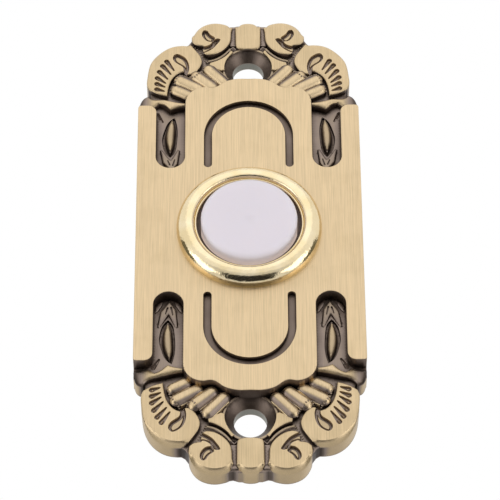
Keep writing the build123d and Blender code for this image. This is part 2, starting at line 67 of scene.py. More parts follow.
# %% Camera
CAMERA_PLACE = Vector((-0.770, -393.5, -282.75)) * MM
CAMERA_RIGHT = Vector((0.99998, 0.00171, -0.00556))
CAMERA_UP = Vector((0.00551, -0.58284, 0.81257))
LENS_MM = 206.74
SENSOR_MM = 36
NEAREST = 0.01

camera_data = bpy.data.cameras.new("camera")
camera_data.lens = LENS_MM
camera_data.sensor_width = SENSOR_MM
camera_data.clip_start = NEAREST
camera = bpy.data.objects.new("camera", camera_data)
bpy.context.scene.collection.objects.link(camera)
back = CAMERA_RIGHT.cross(CAMERA_UP).normalized()
up = back.cross(CAMERA_RIGHT).normalized()
turn = Matrix((CAMERA_RIGHT.normalized(), up, back)).transposed().to_4x4()
camera.matrix_world = Matrix.Translation(CAMERA_PLACE) @ turn
bpy.context.scene.camera = camera
print("camera", round(CAMERA_PLACE.length, 3), "m from the plate")


# %% Small helpers for nodes and colours
def linear(hex_colour):
    """An sRGB hex colour as linear red, green, blue and alpha."""
    channels = [int(hex_colour[i:i + 2], 16) / 255 for i in (1, 3, 5)]
    return [c / 12.92 if c <= 0.04045 else ((c + 0.055) / 1.055) ** 2.4 for c in channels] + [1.0]


def node(tree, kind, links=None, **settings):
    """Add one shader or geometry node; settings are its properties, links its inputs."""
    made = tree.nodes.new(kind)
    for name, value in settings.items():
        setattr(made, name, value)
    for name, value in (links or {}).items():
        socket = made.inputs[name]
        if isinstance(value, bpy.types.NodeSocket):
            tree.links.new(value, socket)
        else:
            socket.default_value = value
    return made


def ramp(tree, factor, stops, interpolation="LINEAR"):
    """The colours between (place, hex colour) stops."""
    made = node(tree, "ShaderNodeValToRGB", {0: factor})
    colours = made.color_ramp
    colours.interpolation = interpolation
    colours.elements[0].position, colours.elements[0].color = stops[0][0], linear(stops[0][1])
    colours.elements[1].position, colours.elements[1].color = stops[-1][0], linear(stops[-1][1])
    for position, colour in stops[1:-1]:
        colours.elements.new(position).color = linear(colour)
    return made.outputs["Color"]


def between(tree, value, low, high, to_low=0.0, to_high=1.0, **settings):
    """A value carried from one range to another."""
    return node(tree, "ShaderNodeMapRange", {"Value": value, "From Min": low, "From Max": high,
                                             "To Min": to_low, "To Max": to_high}, **settings).outputs[0]


def noise(tree, place, scale, detail):
    """Noise on places in metres, with its number of cells per metre along X, Y and Z."""
    laid = node(tree, "ShaderNodeMapping", {"Vector": place, "Scale": scale})
    made = node(tree, "ShaderNodeTexNoise", {"Vector": laid.outputs[0], "Scale": 1.0, "Detail": detail})
    return made.outputs[0]


def new_material(name):
    """A material with an empty tree."""
    material = bpy.data.materials.new(name)
    material.use_nodes = True
    material.node_tree.nodes.clear()
    return material, material.node_tree


def surface(tree, sockets):
    """The Principled shader and the output that end a material's tree."""
    shader = node(tree, "ShaderNodeBsdfPrincipled", sockets)
    node(tree, "ShaderNodeOutputMaterial", {"Surface": shader.outputs[0]})
    return shader


# %% [markdown]
# ## Studio light
# The photograph was taken in a white room.  The camera, glass and mirrors see that room as pure white,
# so the page stays white and the polished ring shows a bright surrounding.  Matt surfaces get a light
# that is a little weaker from below, as in a room with a grey floor, and this shades the carving.
# One large lamp stands high in front; two small ones low at the sides put a glint on the ring.

# %% World and lamps
BELOW, LEVEL, ABOVE = "#C8C8C8", "#D8D8D8", "#F4F4F4"
LAMP_AIM = (0, 0, 0)


def build_world():
    world = bpy.data.worlds.new("studio")
    world.use_nodes = True
    tree = world.node_tree
    tree.nodes.clear()
    rays = node(tree, "ShaderNodeLightPath").outputs
    seen = node(tree, "ShaderNodeMath", {0: rays["Is Camera Ray"], 1: rays["Is Transmission Ray"]},
                operation="MAXIMUM")
    seen = node(tree, "ShaderNodeMath", {0: seen.outputs[0], 1: rays["Is Glossy Ray"]}, operation="MAXIMUM")
    place = node(tree, "ShaderNodeTexCoord").outputs["Generated"]
    upwards = node(tree, "ShaderNodeSeparateXYZ", {0: place}).outputs["Z"]
    colour = ramp(tree, between(tree, upwards, -1.0, 1.0), [(0.0, BELOW), (0.5, LEVEL), (1.0, ABOVE)])
    light = node(tree, "ShaderNodeBackground", {"Color": colour, "Strength": 1.0})
    white = node(tree, "ShaderNodeBackground", {"Color": (1, 1, 1, 1), "Strength": 1.0})
    mix = node(tree, "ShaderNodeMixShader", {0: seen.outputs[0], 1: light.outputs[0], 2: white.outputs[0]})
    node(tree, "ShaderNodeOutputWorld", {"Surface": mix.outputs[0]})
    bpy.context.scene.world = world


def soft_lamp(name, place, size, watts):
    """A square white lamp that looks at the doorbell."""
    data = bpy.data.lights.new(name, "AREA")
    data.shape = "RECTANGLE"
    data.size = data.size_y = size
    data.energy = watts
    lamp = bpy.data.objects.new(name, data)
    lamp.location = place
    lamp.rotation_euler = (Vector(LAMP_AIM) - Vector(place)).to_track_quat("-Z", "Y").to_euler()
    bpy.context.scene.collection.objects.link(lamp)


build_world()
soft_lamp("key_light", (0.0, -0.75, 0.75), 1.1, 1.1)
soft_lamp("left_strip", (-0.45, -0.24, -0.16), 0.34, 0.55)
soft_lamp("right_strip", (0.45, -0.24, -0.16), 0.34, 0.55)
bpy.context.scene.view_settings.view_transform = "Standard"

# %% [markdown]
# ## The carving, drawn as outlines
# A founder's pattern is cut from outlines too.  One quarter of the plate is drawn in millimetres,
# across from the middle and up from the button, and mirrored to the other three.  Each raised shape
# has an outline, a height above the brushed face (negative heights are carved down) and a rounded
# edge; each cut has an outline and a floor.

# %% Sizes, in millimetres
plate_low, plate_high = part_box("face_plate")
PLATE_HALF = plate_high.x / MM
PLATE_TOP = plate_high.z / MM
THICK = -plate_low.y / MM
# the screw hole, its countersink and the round pad that carries them
HOLE_UP = 36.05
HOLE_RADIUS = 2.675
SINK_RADIUS = 4.15
PAD_RADIUS = 4.55
PAD_DEPTH = 1.95
CONE_START = 2.1
CONE_END = 3.85
BORE_RADIUS = 9.7
# heights above the brushed face
GROUND = -2.5
LOBE = -1.5
NOTHING = -THICK - 1
# the side channel: its inner and outer wall, middle and round end, and the end of the side wall
CHANNEL_IN = 10.87
CHANNEL_OUT = 15.83
CHANNEL_MIDDLE = 13.35
CHANNEL_END = 12.82
WING_END = 26.35
# the distance between points on a curve; a long straight line needs only every third of them
STEP = 0.18
LONG_LINE = 6
print("plate", round(PLATE_HALF * 2, 2), "by", round(PLATE_TOP * 2, 2), "by", round(THICK, 2), "mm")


# %% Smooth outlines from a few points
def smooth(points):
    """Close-set points on the natural cubic curve through the given points."""
    points = np.array(points, float)
    chord = np.hypot(*np.diff(points, axis=0).T)
    along = np.concatenate([[0], np.cumsum(chord)])
    pitch = 3 * STEP if len(points) == 2 and along[-1] > LONG_LINE else STEP
    fine = np.linspace(0, along[-1], max(2, int(math.ceil(along[-1] / pitch)) + 1))
    if len(points) == 2:
        return np.stack([np.interp(fine, along, points[:, k]) for k in (0, 1)], axis=1)
    count = len(points)
    system = np.eye(count)
    right = np.zeros((count, 2))
    for i in range(1, count - 1):
        before, after = chord[i - 1], chord[i]
        system[i, i - 1:i + 2] = before, 2 * (before + after), after
        right[i] = 6 * ((points[i + 1] - points[i]) / after - (points[i] - points[i - 1]) / before)
    bend = np.linalg.solve(system, right)
    span = np.clip(np.searchsorted(along, fine, side="right") - 1, 0, count - 2)
    width = chord[span][:, None]
    ahead = (fine - along[span])[:, None] / width
    behind = 1 - ahead
    return (behind * points[span] + ahead * points[span + 1]
            + ((behind ** 3 - behind) * bend[span] + (ahead ** 3 - ahead) * bend[span + 1]) * width ** 2 / 6)


def outline(*runs):
    """A closed outline from runs of points; each run is one smooth curve to the start of the next."""
    pieces = []
    for index, run in enumerate(runs):
        following = runs[(index + 1) % len(runs)]
        pieces.append(smooth(list(run) + [following[0]])[:-1])
    return np.concatenate(pieces)


def arc(centre, radius, start, end):
    """Points on an arc, from one angle to another in degrees."""
    count = max(4, int(abs(math.radians(end - start)) * radius / STEP))
    turn = np.radians(np.linspace(start, end, count))
    return np.stack([centre[0] + radius * np.cos(turn), centre[1] + radius * np.sin(turn)], axis=1)


def circle(centre, radius):
    """Points round a circle."""
    return arc(centre, radius, 0, 360)[:-1]


def round_ended(centre, length, width, slope):
    """A bar with round ends, turned by its slope in degrees."""
    reach = (length - width) / 2
    run = np.array([math.cos(math.radians(slope)), math.sin(math.radians(slope))]) * reach
    head, foot = np.array(centre) + run, np.array(centre) - run
    return np.concatenate([arc(head, width / 2, slope - 90, slope + 90),
                           arc(foot, width / 2, slope + 90, slope + 270)])


def straight(points):
    """A closed outline with straight sides."""
    return outline(*[[point] for point in points])


def teardrop(head, tip, radius, tip_radius=0.14):
    """The outline of a flute: round at one end, tapering to a small round tip."""
    run = np.subtract(tip, head)
    turn = math.degrees(math.atan2(run[1], run[0]))
    open_angle = 90 - math.degrees(math.asin((radius - tip_radius) / np.hypot(*run)))
    back = arc(head, radius, turn + open_angle, turn + 360 - open_angle)
    front = arc(tip, tip_radius, turn - open_angle, turn + open_angle)
    return np.concatenate([back, smooth([back[-1], front[0]])[1:-1], front, smooth([front[-1], back[0]])[1:-1]])


def band(line, half_width):
    """The closed outline of a narrow band along an open line."""
    along = np.gradient(line, axis=0)
    across = np.stack([-along[:, 1], along[:, 0]], axis=1) / np.hypot(*along.T)[:, None] * half_width
    return np.concatenate([line + across, (line - across)[::-1]])


# %% [markdown]
# The ends carry a scroll, a shell with flutes and a small lobe in the middle.  Each was traced from the
# lower left quarter of the photograph, where the camera sees it best.  Three or four points stand for
# one free curve, as a carver would draw it with one stroke.

# %% The outlines of one quarter: lobes and their strokes
scroll_outside = [(2.75, 44.9), (3.3, 45.8), (4.4, 46.3), (5.7, 46.5), (7.3, 46.2), (8.6, 45.4), (9.5, 44.1),
                  (9.9, 42.7)]
scroll = outline(
    scroll_outside, [(9.8, 41.7), (9.3, 41.2), (8.4, 40.9)], [(7.9, 40.85), (7.95, 39.6), (7.5, 39.0)],
    [(7.0, 38.8), (6.0, 38.95), (4.9, 39.5), (3.9, 40.4), (3.25, 41.4), (3.0, 42.6)], [(2.95, 44.0)])
scroll_strokes = [
    outline([(4.8, 42.3), (5.0, 41.85), (5.45, 41.15), (6.05, 40.35), (6.85, 39.7), (7.5, 39.35)],
            [(8.2, 39.2), (8.2, 40.8)],
            [(7.6, 40.75), (6.9, 41.0), (6.4, 41.5), (6.15, 42.1), (5.7, 42.4), (5.2, 42.5)]),
    outline([(6.35, 41.75), (7.0, 41.85), (7.6, 42.3), (8.0, 43.0), (8.05, 43.9)],
            [(7.75, 44.4), (7.3, 44.35), (6.85, 43.75), (6.4, 43.2), (5.85, 42.75)])]
shell_outside = [(9.9, 41.0), (10.6, 41.3), (11.8, 41.4), (13.4, 41.1), (15.2, 40.0), (16.5, 38.3),
                 (17.25, 36.2), (17.6, 33.6), (17.6, 31.9)]
shell = outline(
    shell_outside, [(17.3, 31.1), (16.1, 30.3), (15.0, 29.85)],
    [(14.05, 29.6), (13.9, 31.0), (13.55, 32.6), (12.9, 33.9), (12.0, 34.75)],
    [(11.2, 35.1), (10.3, 34.4), (9.6, 34.6), (8.6, 35.7), (8.05, 37.2), (8.3, 38.5), (9.0, 39.7)])
eye_stroke = outline([(10.65, 34.3), (10.35, 35.3), (10.3, 36.1), (10.5, 37.15), (11.1, 38.25)],
                     [(12.0, 38.9), (12.6, 39.0), (13.05, 38.6), (13.15, 37.9)],
                     [(12.75, 37.15), (12.05, 36.6), (11.45, 36.1), (11.25, 35.4), (11.2, 34.6)])
flutes = [((15.9, 31.1), (14.6, 30.65)), ((15.9, 32.3), (14.5, 31.6)), ((15.85, 33.6), (14.4, 32.45)),
          ((15.5, 35.0), (14.05, 33.35)), ((14.95, 36.3), (13.5, 34.45)), ((14.25, 37.3), (12.95, 35.3))]
lobe_end = [(-2.25, 45.1), (-1.35, 46.1), (0.0, 46.4), (1.35, 46.1), (2.25, 45.1)]
middle_lobe = outline([(-2.2, 41.3)], lobe_end[:-1], lobe_end[-1:], [(2.2, 41.3), (2.0, 40.5), (1.2, 40.1)],
                      [(-1.2, 40.1), (-2.0, 40.5)])
print("flutes:", len(flutes), "strokes:", len(scroll_strokes) + 1)

# %% [markdown]
# Between the lobes and the brushed panel lie a web with a bar, four ribs (gadroons) and a collar.  In
# the side channel a leaf hangs under a pointed tip with two petals.  The ribs are given by the line
# along their crest and a width, because that is how a carver sets them out.

# %% The outlines of one quarter: web, gadroons, collar and channel carving
web = outline([(2.6, 39.5), (3.4, 38.35), (3.9, 37.0)], [(4.1, 35.5)], [(4.7, 35.3), (5.8, 35.8), (6.8, 36.5)],
              [(6.65, 37.15), (5.5, 37.6), (4.4, 38.3), (3.5, 39.2)], [(3.0, 40.0)])
web_bar = smooth([(7.0, 37.75), (5.8, 38.1), (4.75, 38.75), (3.8, 39.65), (3.2, 40.45)])
pit = straight([(3.0, 40.05), (2.6, 39.75), (2.25, 40.1), (2.6, 40.6)])
pit_rim = smooth([(3.1, 40.45), (2.62, 41.0)]), smooth([(2.62, 41.0), (2.1, 40.45)])
lobe_seam = straight([(2.1, 41.2), (3.15, 41.2), (3.15, 45.6), (2.1, 45.6)])
gadroons = [((10.6, 29.9), (12.4, 30.85), 2.3), ((8.7, 31.2), (11.8, 33.0), 2.45),
            ((6.3, 31.6), (8.9, 33.9), 2.45), ((4.3, 32.6), (6.8, 35.4), 2.25)]
rib_bed = straight([(10.6, 29.4), (12.6, 30.9), (12.0, 33.1), (9.2, 34.2), (7.0, 35.7), (6.0, 35.4),
                    (3.7, 32.4), (6.3, 31.2), (8.6, 30.9)])
# collar: lower edge from the panel outwards, round the side, and back along the waved upper edge
collar = outline([(10.5, 27.8), (11.8, 27.95), (13.4, 28.35), (15.2, 28.75), (16.6, 29.15)],
                 [(17.3, 30.0), (18.2, 29.6), (18.8, 28.5)], [(19.0, 27.0)], [(16.6, 26.9)],
                 [(15.5, 27.7), (14.5, 27.3), (13.8, 26.6)], [(13.4, 26.25), (12.2, 26.7)], [(10.5, 27.0)])
leaf = outline([(13.1, 25.1), (12.62, 23.6), (12.6, 21.1), (12.85, 18.9)],
               [(13.45, 17.3), (14.05, 18.8), (14.35, 21.0), (14.05, 23.0), (13.55, 24.3)])
leaf_bed = outline([(12.75, 25.5), (12.35, 23.8), (12.25, 21.0), (12.4, 19.2), (12.75, 17.7)],
                   [(13.45, 16.8), (14.2, 17.7), (14.75, 19.4), (14.85, 21.0), (14.45, 22.8), (13.65, 24.7)])
leaf_tip = outline([(11.7, 18.3)], [(12.1, 15.1)], [(13.2, 13.4)], [(14.75, 15.5)], [(15.3, 18.4)],
                   [(14.8, 18.5)], [(13.35, 16.0)], [(12.2, 18.6)])
tip_strokes = [teardrop((12.95, 14.7), (12.65, 16.1), 0.16, 0.08),
               teardrop((13.5, 14.8), (13.85, 15.9), 0.16, 0.08)]
petal = [(15.6, 15.6), (15.6, 14.5), (15.1, 13.7), (14.2, 13.2), (14.5, 14.2), (15.1, 15.2)]
petals = [straight(petal), straight([(2 * CHANNEL_MIDDLE - x, y) for x, y in petal])]
dart = teardrop((15.75, 26.2), (14.85, 24.6), 0.42, 0.2)
print("carved pieces of the channel:", 2 + len(petals) + len(tip_strokes))

# %% [markdown]
# The ground is the floor under all the carving.  The brushed panel is the highest level: a long
# rectangle with the side channels cut out of it and a low waved rise at the end.  The arch is the
# narrow groove round the button.

# %% The outlines of one quarter: ground, brushed panel and arched groove
ground = straight([
    (-1, 10), (18.95, 10), (18.95, 28.2), (17.0, 29.8), (17.0, 32.0), (16.6, 35.5), (15.6, 38.2), (13.6, 40.4),
    (11.4, 41.2), (10.5, 41.8), (9.7, 43.0), (8.0, 44.7), (5.6, 45.7), (3.4, 45.9), (2.8, 45.8), (1.9, 46.1),
    (-1, 46.2)])
CORNER, MOUTH, SHOULDER = 0.6, 1.5, 3.47
END_ROUND = 2.48
SHOULDER_UP = HOLE_UP - 9.15
brushed = np.concatenate([
    smooth([(-1, -1), (PLATE_HALF, -1)])[:-1], smooth([(PLATE_HALF, -1), (PLATE_HALF, WING_END - CORNER)])[:-1],
    arc((PLATE_HALF - CORNER, WING_END - CORNER), CORNER, 0, 90)[:-1],
    smooth([(PLATE_HALF - CORNER, WING_END), (CHANNEL_OUT + MOUTH, WING_END)])[:-1],
    arc((CHANNEL_OUT + MOUTH, WING_END - MOUTH), MOUTH, 90, 180)[:-1],
    smooth([(CHANNEL_OUT, WING_END - MOUTH), (CHANNEL_OUT, CHANNEL_END + END_ROUND)])[:-1],
    arc((CHANNEL_IN + END_ROUND, CHANNEL_END + END_ROUND), END_ROUND, 360, 180)[:-1],
    smooth([(CHANNEL_IN, CHANNEL_END + END_ROUND), (CHANNEL_IN, SHOULDER_UP)])[:-1],
    arc((CHANNEL_IN - SHOULDER, SHOULDER_UP), SHOULDER, 0, 90)[:-1],
    smooth([(7.4, 30.37), (6.3, 30.2), (5.4, 30.5), (4.4, 31.3), (3.3, 31.85), (2.0, 32.15), (0, 32.15)])[:-1],
    smooth([(0, 32.15), (-1, 32.15)])[:-1], smooth([(-1, 32.15), (-1, -1)])[:-1]])
GROOVE_MIDDLE, GROOVE_HALF, GROOVE_OUT, GROOVE_IN = 6.94, 0.675, 7.615, 6.265
GROOVE_FOOT, GROOVE_BEND = 13.565, 19.6
arch = np.concatenate([
    arc((GROOVE_MIDDLE, GROOVE_FOOT), GROOVE_HALF, 180, 360)[:-1],
    smooth([(GROOVE_OUT, GROOVE_FOOT), (GROOVE_OUT, GROOVE_BEND)])[:-1],
    arc((0, GROOVE_BEND), GROOVE_OUT, 0, 96)[:-1], arc((0, GROOVE_BEND), GROOVE_IN, 98, 0)[:-1],
    smooth([(GROOVE_IN, GROOVE_BEND), (GROOVE_IN, GROOVE_FOOT)])[:-1]])
print("outline points:", sum(len(o) for o in (scroll, shell, web, collar, leaf, ground, brushed, arch)))


# %% Distance from an outline and from a line
FAR_AWAY = -9.0
NEAR = 1.5
PART = 4000


def inside(points, loop):
    """Distance of each point inside a closed outline, negative outside, and FAR_AWAY beyond NEAR mm."""
    result = np.full(len(points), FAR_AWAY)
    near = np.all((points > loop.min(0) - NEAR) & (points < loop.max(0) + NEAR), axis=1)
    some = points[near]
    if len(some) == 0:
        return result
    ends = np.roll(loop, -1, axis=0)
    edge = ends - loop
    found = np.zeros(len(some))
    for first in range(0, len(some), PART):
        part = some[first:first + PART]
        offset = part[:, None] - loop[None]
        share = np.clip((offset * edge).sum(2) / np.maximum((edge ** 2).sum(1), 1e-12), 0, 1)
        gap = np.hypot(*np.moveaxis(offset - share[..., None] * edge, 2, 0)).min(1)
        crosses = (loop[:, 1] > part[:, 1:2]) != (ends[:, 1] > part[:, 1:2])
        rise = np.where(edge[:, 1] == 0, 1e-12, edge[:, 1])
        left = part[:, :1] < edge[:, 0] * (part[:, 1:2] - loop[:, 1]) / rise + loop[:, 0]
        odd = (crosses & left).sum(1) % 2 == 1
        found[first:first + PART] = np.where(odd, gap, -gap)
    result[near] = found
    return result


def from_line(points, line):
    """Distance of each point from an open line of points."""
    edge = np.diff(line, axis=0)
    offset = points[:, None] - line[None, :-1]
    share = np.clip((offset * edge).sum(2) / (edge ** 2).sum(1), 0, 1)
    return np.hypot(*np.moveaxis(offset - share[..., None] * edge, 2, 0)).min(1)


# %% [markdown]
# ## Heights
# The height of any place follows from the outlines: the highest raised shape wins, and the cuts are
# then sunk into it.  A cast piece has no sharp step at its top, so each shape has a rounded edge, and
# the lobes also lean outwards below their top, as they must to leave the mould.

# %% The rules that heights follow
LEAN_REACH = 0.62
LEAN_CURVE = 1.35


def rounded(depth, radius):
    """How far a rounded edge lies below its top, a given distance inside the outline."""
    short = np.clip(radius - depth, 0, radius)
    return radius - np.sqrt(np.maximum(radius ** 2 - short ** 2, 0))


def ease(value, start, end):
    """0 before start, 1 after end, and a smooth rise between them."""
    share = np.clip((value - start) / (end - start), 0, 1)
    return share * share * (3 - 2 * share)


def collar_top(points):
    """The collar's crest falls towards the side of the plate."""
    return -1.0 - 1.1 * np.clip((points[:, 0] - 14.5) / 4.5, 0, 1)


def leaf_tip_top(points):
    """The pointed tip dips towards the leaf that hangs under it."""
    return -1.7 - 0.65 * np.clip((points[:, 1] - 13.4) / 5.1, 0, 1)


def draft(points, outside, drop, fades):
    """How far the lean lowers a lobe near its outer line; it fades out towards the line's ends."""
    lean = drop * np.clip(1 - from_line(points, outside) / LEAN_REACH, 0, 1) ** LEAN_CURVE
    for end, fade in zip((outside[0], outside[-1]), fades):
        lean = lean * ease(np.hypot(*(points - end).T), 0.1, fade)
    return lean


def bead(points, line, radius, top):
    """Height of a round bead along a line, and nothing beside it."""
    gap = from_line(points, line)
    return np.where(gap < radius, top - radius + np.sqrt(np.maximum(radius ** 2 - gap ** 2, 0)), NOTHING)


# %% The list of raised shapes, lobes that lean, cuts and beads
# outline, height of its top, radius of its rounded edge
raised = [
    (ground, GROUND, 0.1), (rib_bed, -1.85, 0.15), (collar, collar_top, 0.7), (lobe_seam, -2.1, 0.1),
    (scroll, LOBE, 0.3), (shell, LOBE, 0.3), (middle_lobe, LOBE, 0.35), (web, LOBE - 0.1, 0.2),
    (leaf_tip, leaf_tip_top, 0.35), (petals[0], -2.2, 0.2), (petals[1], -2.2, 0.2),
    (circle((0, HOLE_UP), PAD_RADIUS), -PAD_DEPTH, 0.12), (brushed, 0.0, 0.12)]
# lobe, its outer line, how far it leans down there, and the distance over which each end fades
leaning = [(scroll, smooth(scroll_outside), 0.9, (0.8, 1.4)),
           (shell, smooth(shell_outside[:7]), 0.95, (1.2, 4.5)),
           (middle_lobe, smooth(lobe_end), 0.9, (0.7, 0.7))]
# outline, height of its floor, width of its wall, and how far inside a ridge stands on the floor
FLUTE_RADIUS = 0.46
cuts = [(arch, -0.9, 0.1, 0.0), (pit, -2.7, 0.25, 0.0), (dart, -3.0, 0.35, 0.0)]
cuts += [(stroke, -2.15, 0.16, 0.46) for stroke in scroll_strokes + [eye_stroke]]
cuts += [(stroke, -2.2, 0.08, 0.0) for stroke in tip_strokes]
cuts += [(teardrop(head, tip, FLUTE_RADIUS), -1.95, 0.11, 0.35) for head, tip in flutes]
RIDGE_RISE, RIDGE_SIDE = 0.27, 0.08
BED_UNDER, BED_SINK, BED_WALL = -2.3, 0.5, 0.12
LEAF_TOP, LEAF_ROUND = -1.8, 0.8
RIB_TOP, RIB_FALL = -1.0, 0.75
# a thin bead lies along one side of each rib
rib_beads = []
for foot, head, width in gadroons:
    run = np.subtract(head, foot) / np.hypot(*np.subtract(head, foot))
    shift = np.array([-run[1], run[0]]) * width / 2
    rib_beads.append(smooth([np.array(foot) + shift, np.array(head) + shift]))
# line, radius and height of the top
beads = [(web_bar, 0.27, -1.95), (pit_rim[0], 0.12, -2.1), (pit_rim[1], 0.12, -2.1)]
beads += [(line, 0.13, -1.5) for line in rib_beads]
print("raised shapes:", len(raised), "cuts:", len(cuts), "beads:", len(beads))


# %% Height of the carving at any place
def height(points):
    """Height above the brushed face at each point of the quarter, in millimetres."""
    h = np.full(len(points), float(NOTHING))
    for loop, top, radius in raised:
        depth = inside(points, loop)
        level = top(points) if callable(top) else top
        level = level - rounded(depth, radius)
        for lobe, outside, drop, fades in leaning:
            if lobe is loop:
                level = level - draft(points, outside, drop, fades)
        h = np.where(depth > 0, np.maximum(h, level), h)
    depth = inside(points, leaf_bed)
    bed = GROUND - BED_SINK * np.sin(np.clip(depth / BED_WALL, 0, 1) * math.pi / 2)
    h = np.where((depth > 0) & (h < BED_UNDER), bed, h)
    depth = inside(points, leaf)
    h = np.where(depth > 0, np.maximum(h, LEAF_TOP - rounded(depth, LEAF_ROUND)), h)
    for foot, head, width in gadroons:
        gap = from_line(points, np.array([foot, head]))
        share = gap / (width / 2)
        h = np.where(share < 1, np.maximum(h, RIB_TOP - RIB_FALL * share ** 3), h)
    for line, radius, top in beads:
        h = np.where(h > NOTHING, np.maximum(h, bead(points, line, radius, top)), h)
    for loop, floor, wall, ridge in cuts:
        depth = inside(points, loop)
        sunk = floor + (h - floor) * (1 - np.sin(np.clip(depth / wall, 0, 1) * math.pi / 2))
        if ridge:
            sunk = sunk + RIDGE_RISE * ease(depth, ridge - RIDGE_SIDE, ridge + RIDGE_SIDE)
        h = np.where(depth > 0, np.minimum(h, sunk), h)
    spread = np.hypot(points[:, 0], points[:, 1] - HOLE_UP)
    cone = -CONE_START - (CONE_END - CONE_START) * (SINK_RADIUS - spread) / (SINK_RADIUS - HOLE_RADIUS)
    h = np.where((spread < SINK_RADIUS) & (inside(points, brushed) <= 0), np.minimum(h, cone), h)
    h = np.where(spread < HOLE_RADIUS, NOTHING, h)
    return np.where(np.hypot(points[:, 0], points[:, 1]) < BORE_RADIUS, NOTHING, h)


print("height of the panel and of a lobe:", height(np.array([(14.0, 5.0), (12.0, 37.0)])).round(2))

# %% [markdown]
# ## From heights to a mesh
# A regular grid would need millions of points to show a sharp wall.  Instead the points are laid
# in rings along each outline, close together where the form turns, with a loose lattice between
# them, and a Delaunay triangulation joins them.  A wall is two rings that lie almost on each other.

# %% Points in rings along the outlines
HAIR = 0.02
ON_LINE = 0.0001
EDGE_SHARES = (0.25, 0.55, 1.0)
TOP_RING = 0.07
LEAN_RINGS = [0.45, LEAN_REACH]
BED_RINGS = (-HAIR, HAIR, BED_WALL)
LEAF_RINGS = (-HAIR, 0.03, 0.12, 0.3, 0.55)
RIB_RINGS = (-HAIR, HAIR, 0.08, 0.2, 0.4, 0.65)
BEAD_SHARES = (1.0, 0.75, 0.3)
BEAD_INSET = 0.004
CONE_RING = 3.4
WALL_SHARE = 0.45
points, edges = [], []


def ring(loop, offset):
    """The outline moved inwards by an offset, as points and edges, without its folded places."""
    before, after = np.roll(loop, 1, axis=0), np.roll(loop, -1, axis=0)
    along = after - before
    along /= np.maximum(np.hypot(*along.T)[:, None], 1e-9)
    area = np.sum(loop[:, 0] * after[:, 1] - after[:, 0] * loop[:, 1])
    inward = np.stack([-along[:, 1], along[:, 0]], axis=1) * np.sign(area)
    moved = loop + inward * offset
    good = np.abs(inside(moved, loop) - offset) < 0.25 * abs(offset) + 0.004
    edges = [(i, (i + 1) % len(loop)) for i in range(len(loop)) if good[i] and good[(i + 1) % len(loop)]]
    return moved, good, edges


def add_ring(loop, offset):
    """Add the part of a ring that lies in the quarter, with a little to spare across its two axes."""
    moved, good, pairs = ring(loop, offset)
    number = {}
    for i in np.flatnonzero(good):
        if -0.4 < moved[i, 0] < PLATE_HALF + 0.1 and -0.4 < moved[i, 1] < PLATE_TOP + 0.1:
            number[i] = len(points)
            points.append(tuple(moved[i]))
    edges.extend((number[a], number[b]) for a, b in pairs if a in number and b in number)


for loop, top, radius in raised:
    leans = any(lobe is loop for lobe, *_ in leaning)
    offsets = [-HAIR, HAIR] + [radius * share for share in EDGE_SHARES]
    if leans:
        offsets += LEAN_RINGS
    if leans or loop is brushed or loop is web:
        offsets.append(radius + TOP_RING)
    for offset in offsets:
        add_ring(loop, offset)
for offset in (0.3, 0.6):
    add_ring(arch, offset)
for loop, floor, wall, ridge in cuts:
    beside_ridge = [ridge - RIDGE_SIDE, ridge + RIDGE_SIDE] if ridge else []
    for offset in [-HAIR, HAIR, wall * WALL_SHARE, wall] + beside_ridge:
        add_ring(loop, offset)
for offset in BED_RINGS:
    add_ring(leaf_bed, offset)
for offset in LEAF_RINGS:
    add_ring(leaf, offset)
for foot, head, width in gadroons:
    run = np.subtract(head, foot)
    slope = math.degrees(math.atan2(run[1], run[0]))
    body = round_ended(np.add(head, foot) / 2, np.hypot(*run) + width, width, slope)
    for offset in RIB_RINGS:
        add_ring(body, offset)
for line, radius, top in beads:
    for share in BEAD_SHARES:
        add_ring(band(line, radius * share), BEAD_INSET)
for radius in (PAD_RADIUS + HAIR, SINK_RADIUS + HAIR, SINK_RADIUS - HAIR, CONE_RING, HOLE_RADIUS + HAIR):
    add_ring(circle((0, HOLE_UP), radius), ON_LINE)
add_ring(circle((0, 0), BORE_RADIUS + HAIR), ON_LINE)
print("ring points:", len(points))

# %% [markdown]
# Between the rings a lattice of points fills the open fields: close-set where there is carving, wide on
# the flat panel.  A lattice point that would crowd a ring is left out.  Two straight lines of points
# along the axes are where the quarter later meets its mirror images.

# %% Lattice points between the rings
CARVED_PITCH, FLAT_PITCH = 0.32, 1.6
ROOM = 0.13
AXIS_PITCH = 0.3


def lattice(low, high, pitch):
    """Points in staggered rows, as the middles of equal triangles' corners lie."""
    across = np.arange(low[0], high[0], pitch)
    rows = np.arange(low[1], high[1], pitch * 0.866)
    grid = [(x + (pitch / 2 if k % 2 else 0), y) for k, y in enumerate(rows) for x in across]
    return np.array(grid)


carved = np.concatenate([lattice((0.1, 25.6), (19.0, 46.4), CARVED_PITCH),
                         lattice((10.9, 13.0), (15.8, 25.6), CARVED_PITCH)])
flat = lattice((0.5, 0.5), (18.8, 31.5), FLAT_PITCH)
taken = np.array(points)
cells = set(map(tuple, np.floor(taken / ROOM).astype(int)))
for place in np.concatenate([carved, flat]):
    cell = np.floor(place / ROOM).astype(int)
    crowded = any((cell[0] + i, cell[1] + j) in cells for i in (-1, 0, 1) for j in (-1, 0, 1))
    if not crowded:
        points.append(tuple(place))
for way, rim_at in (((0, 1), lobe_end[2][1]), ((1, 0), PLATE_HALF)):
    along = np.append(np.linspace(-0.2, rim_at - 0.15, int(rim_at / AXIS_PITCH)), rim_at + 0.3)
    first = len(points)
    points.extend(tuple(step * np.array(way)) for step in along)
    edges.extend((first + i, first + i + 1) for i in range(len(along) - 1))
print("all points:", len(points))

# %% Triangulate the quarter and keep what is metal
WELD = 1e-4


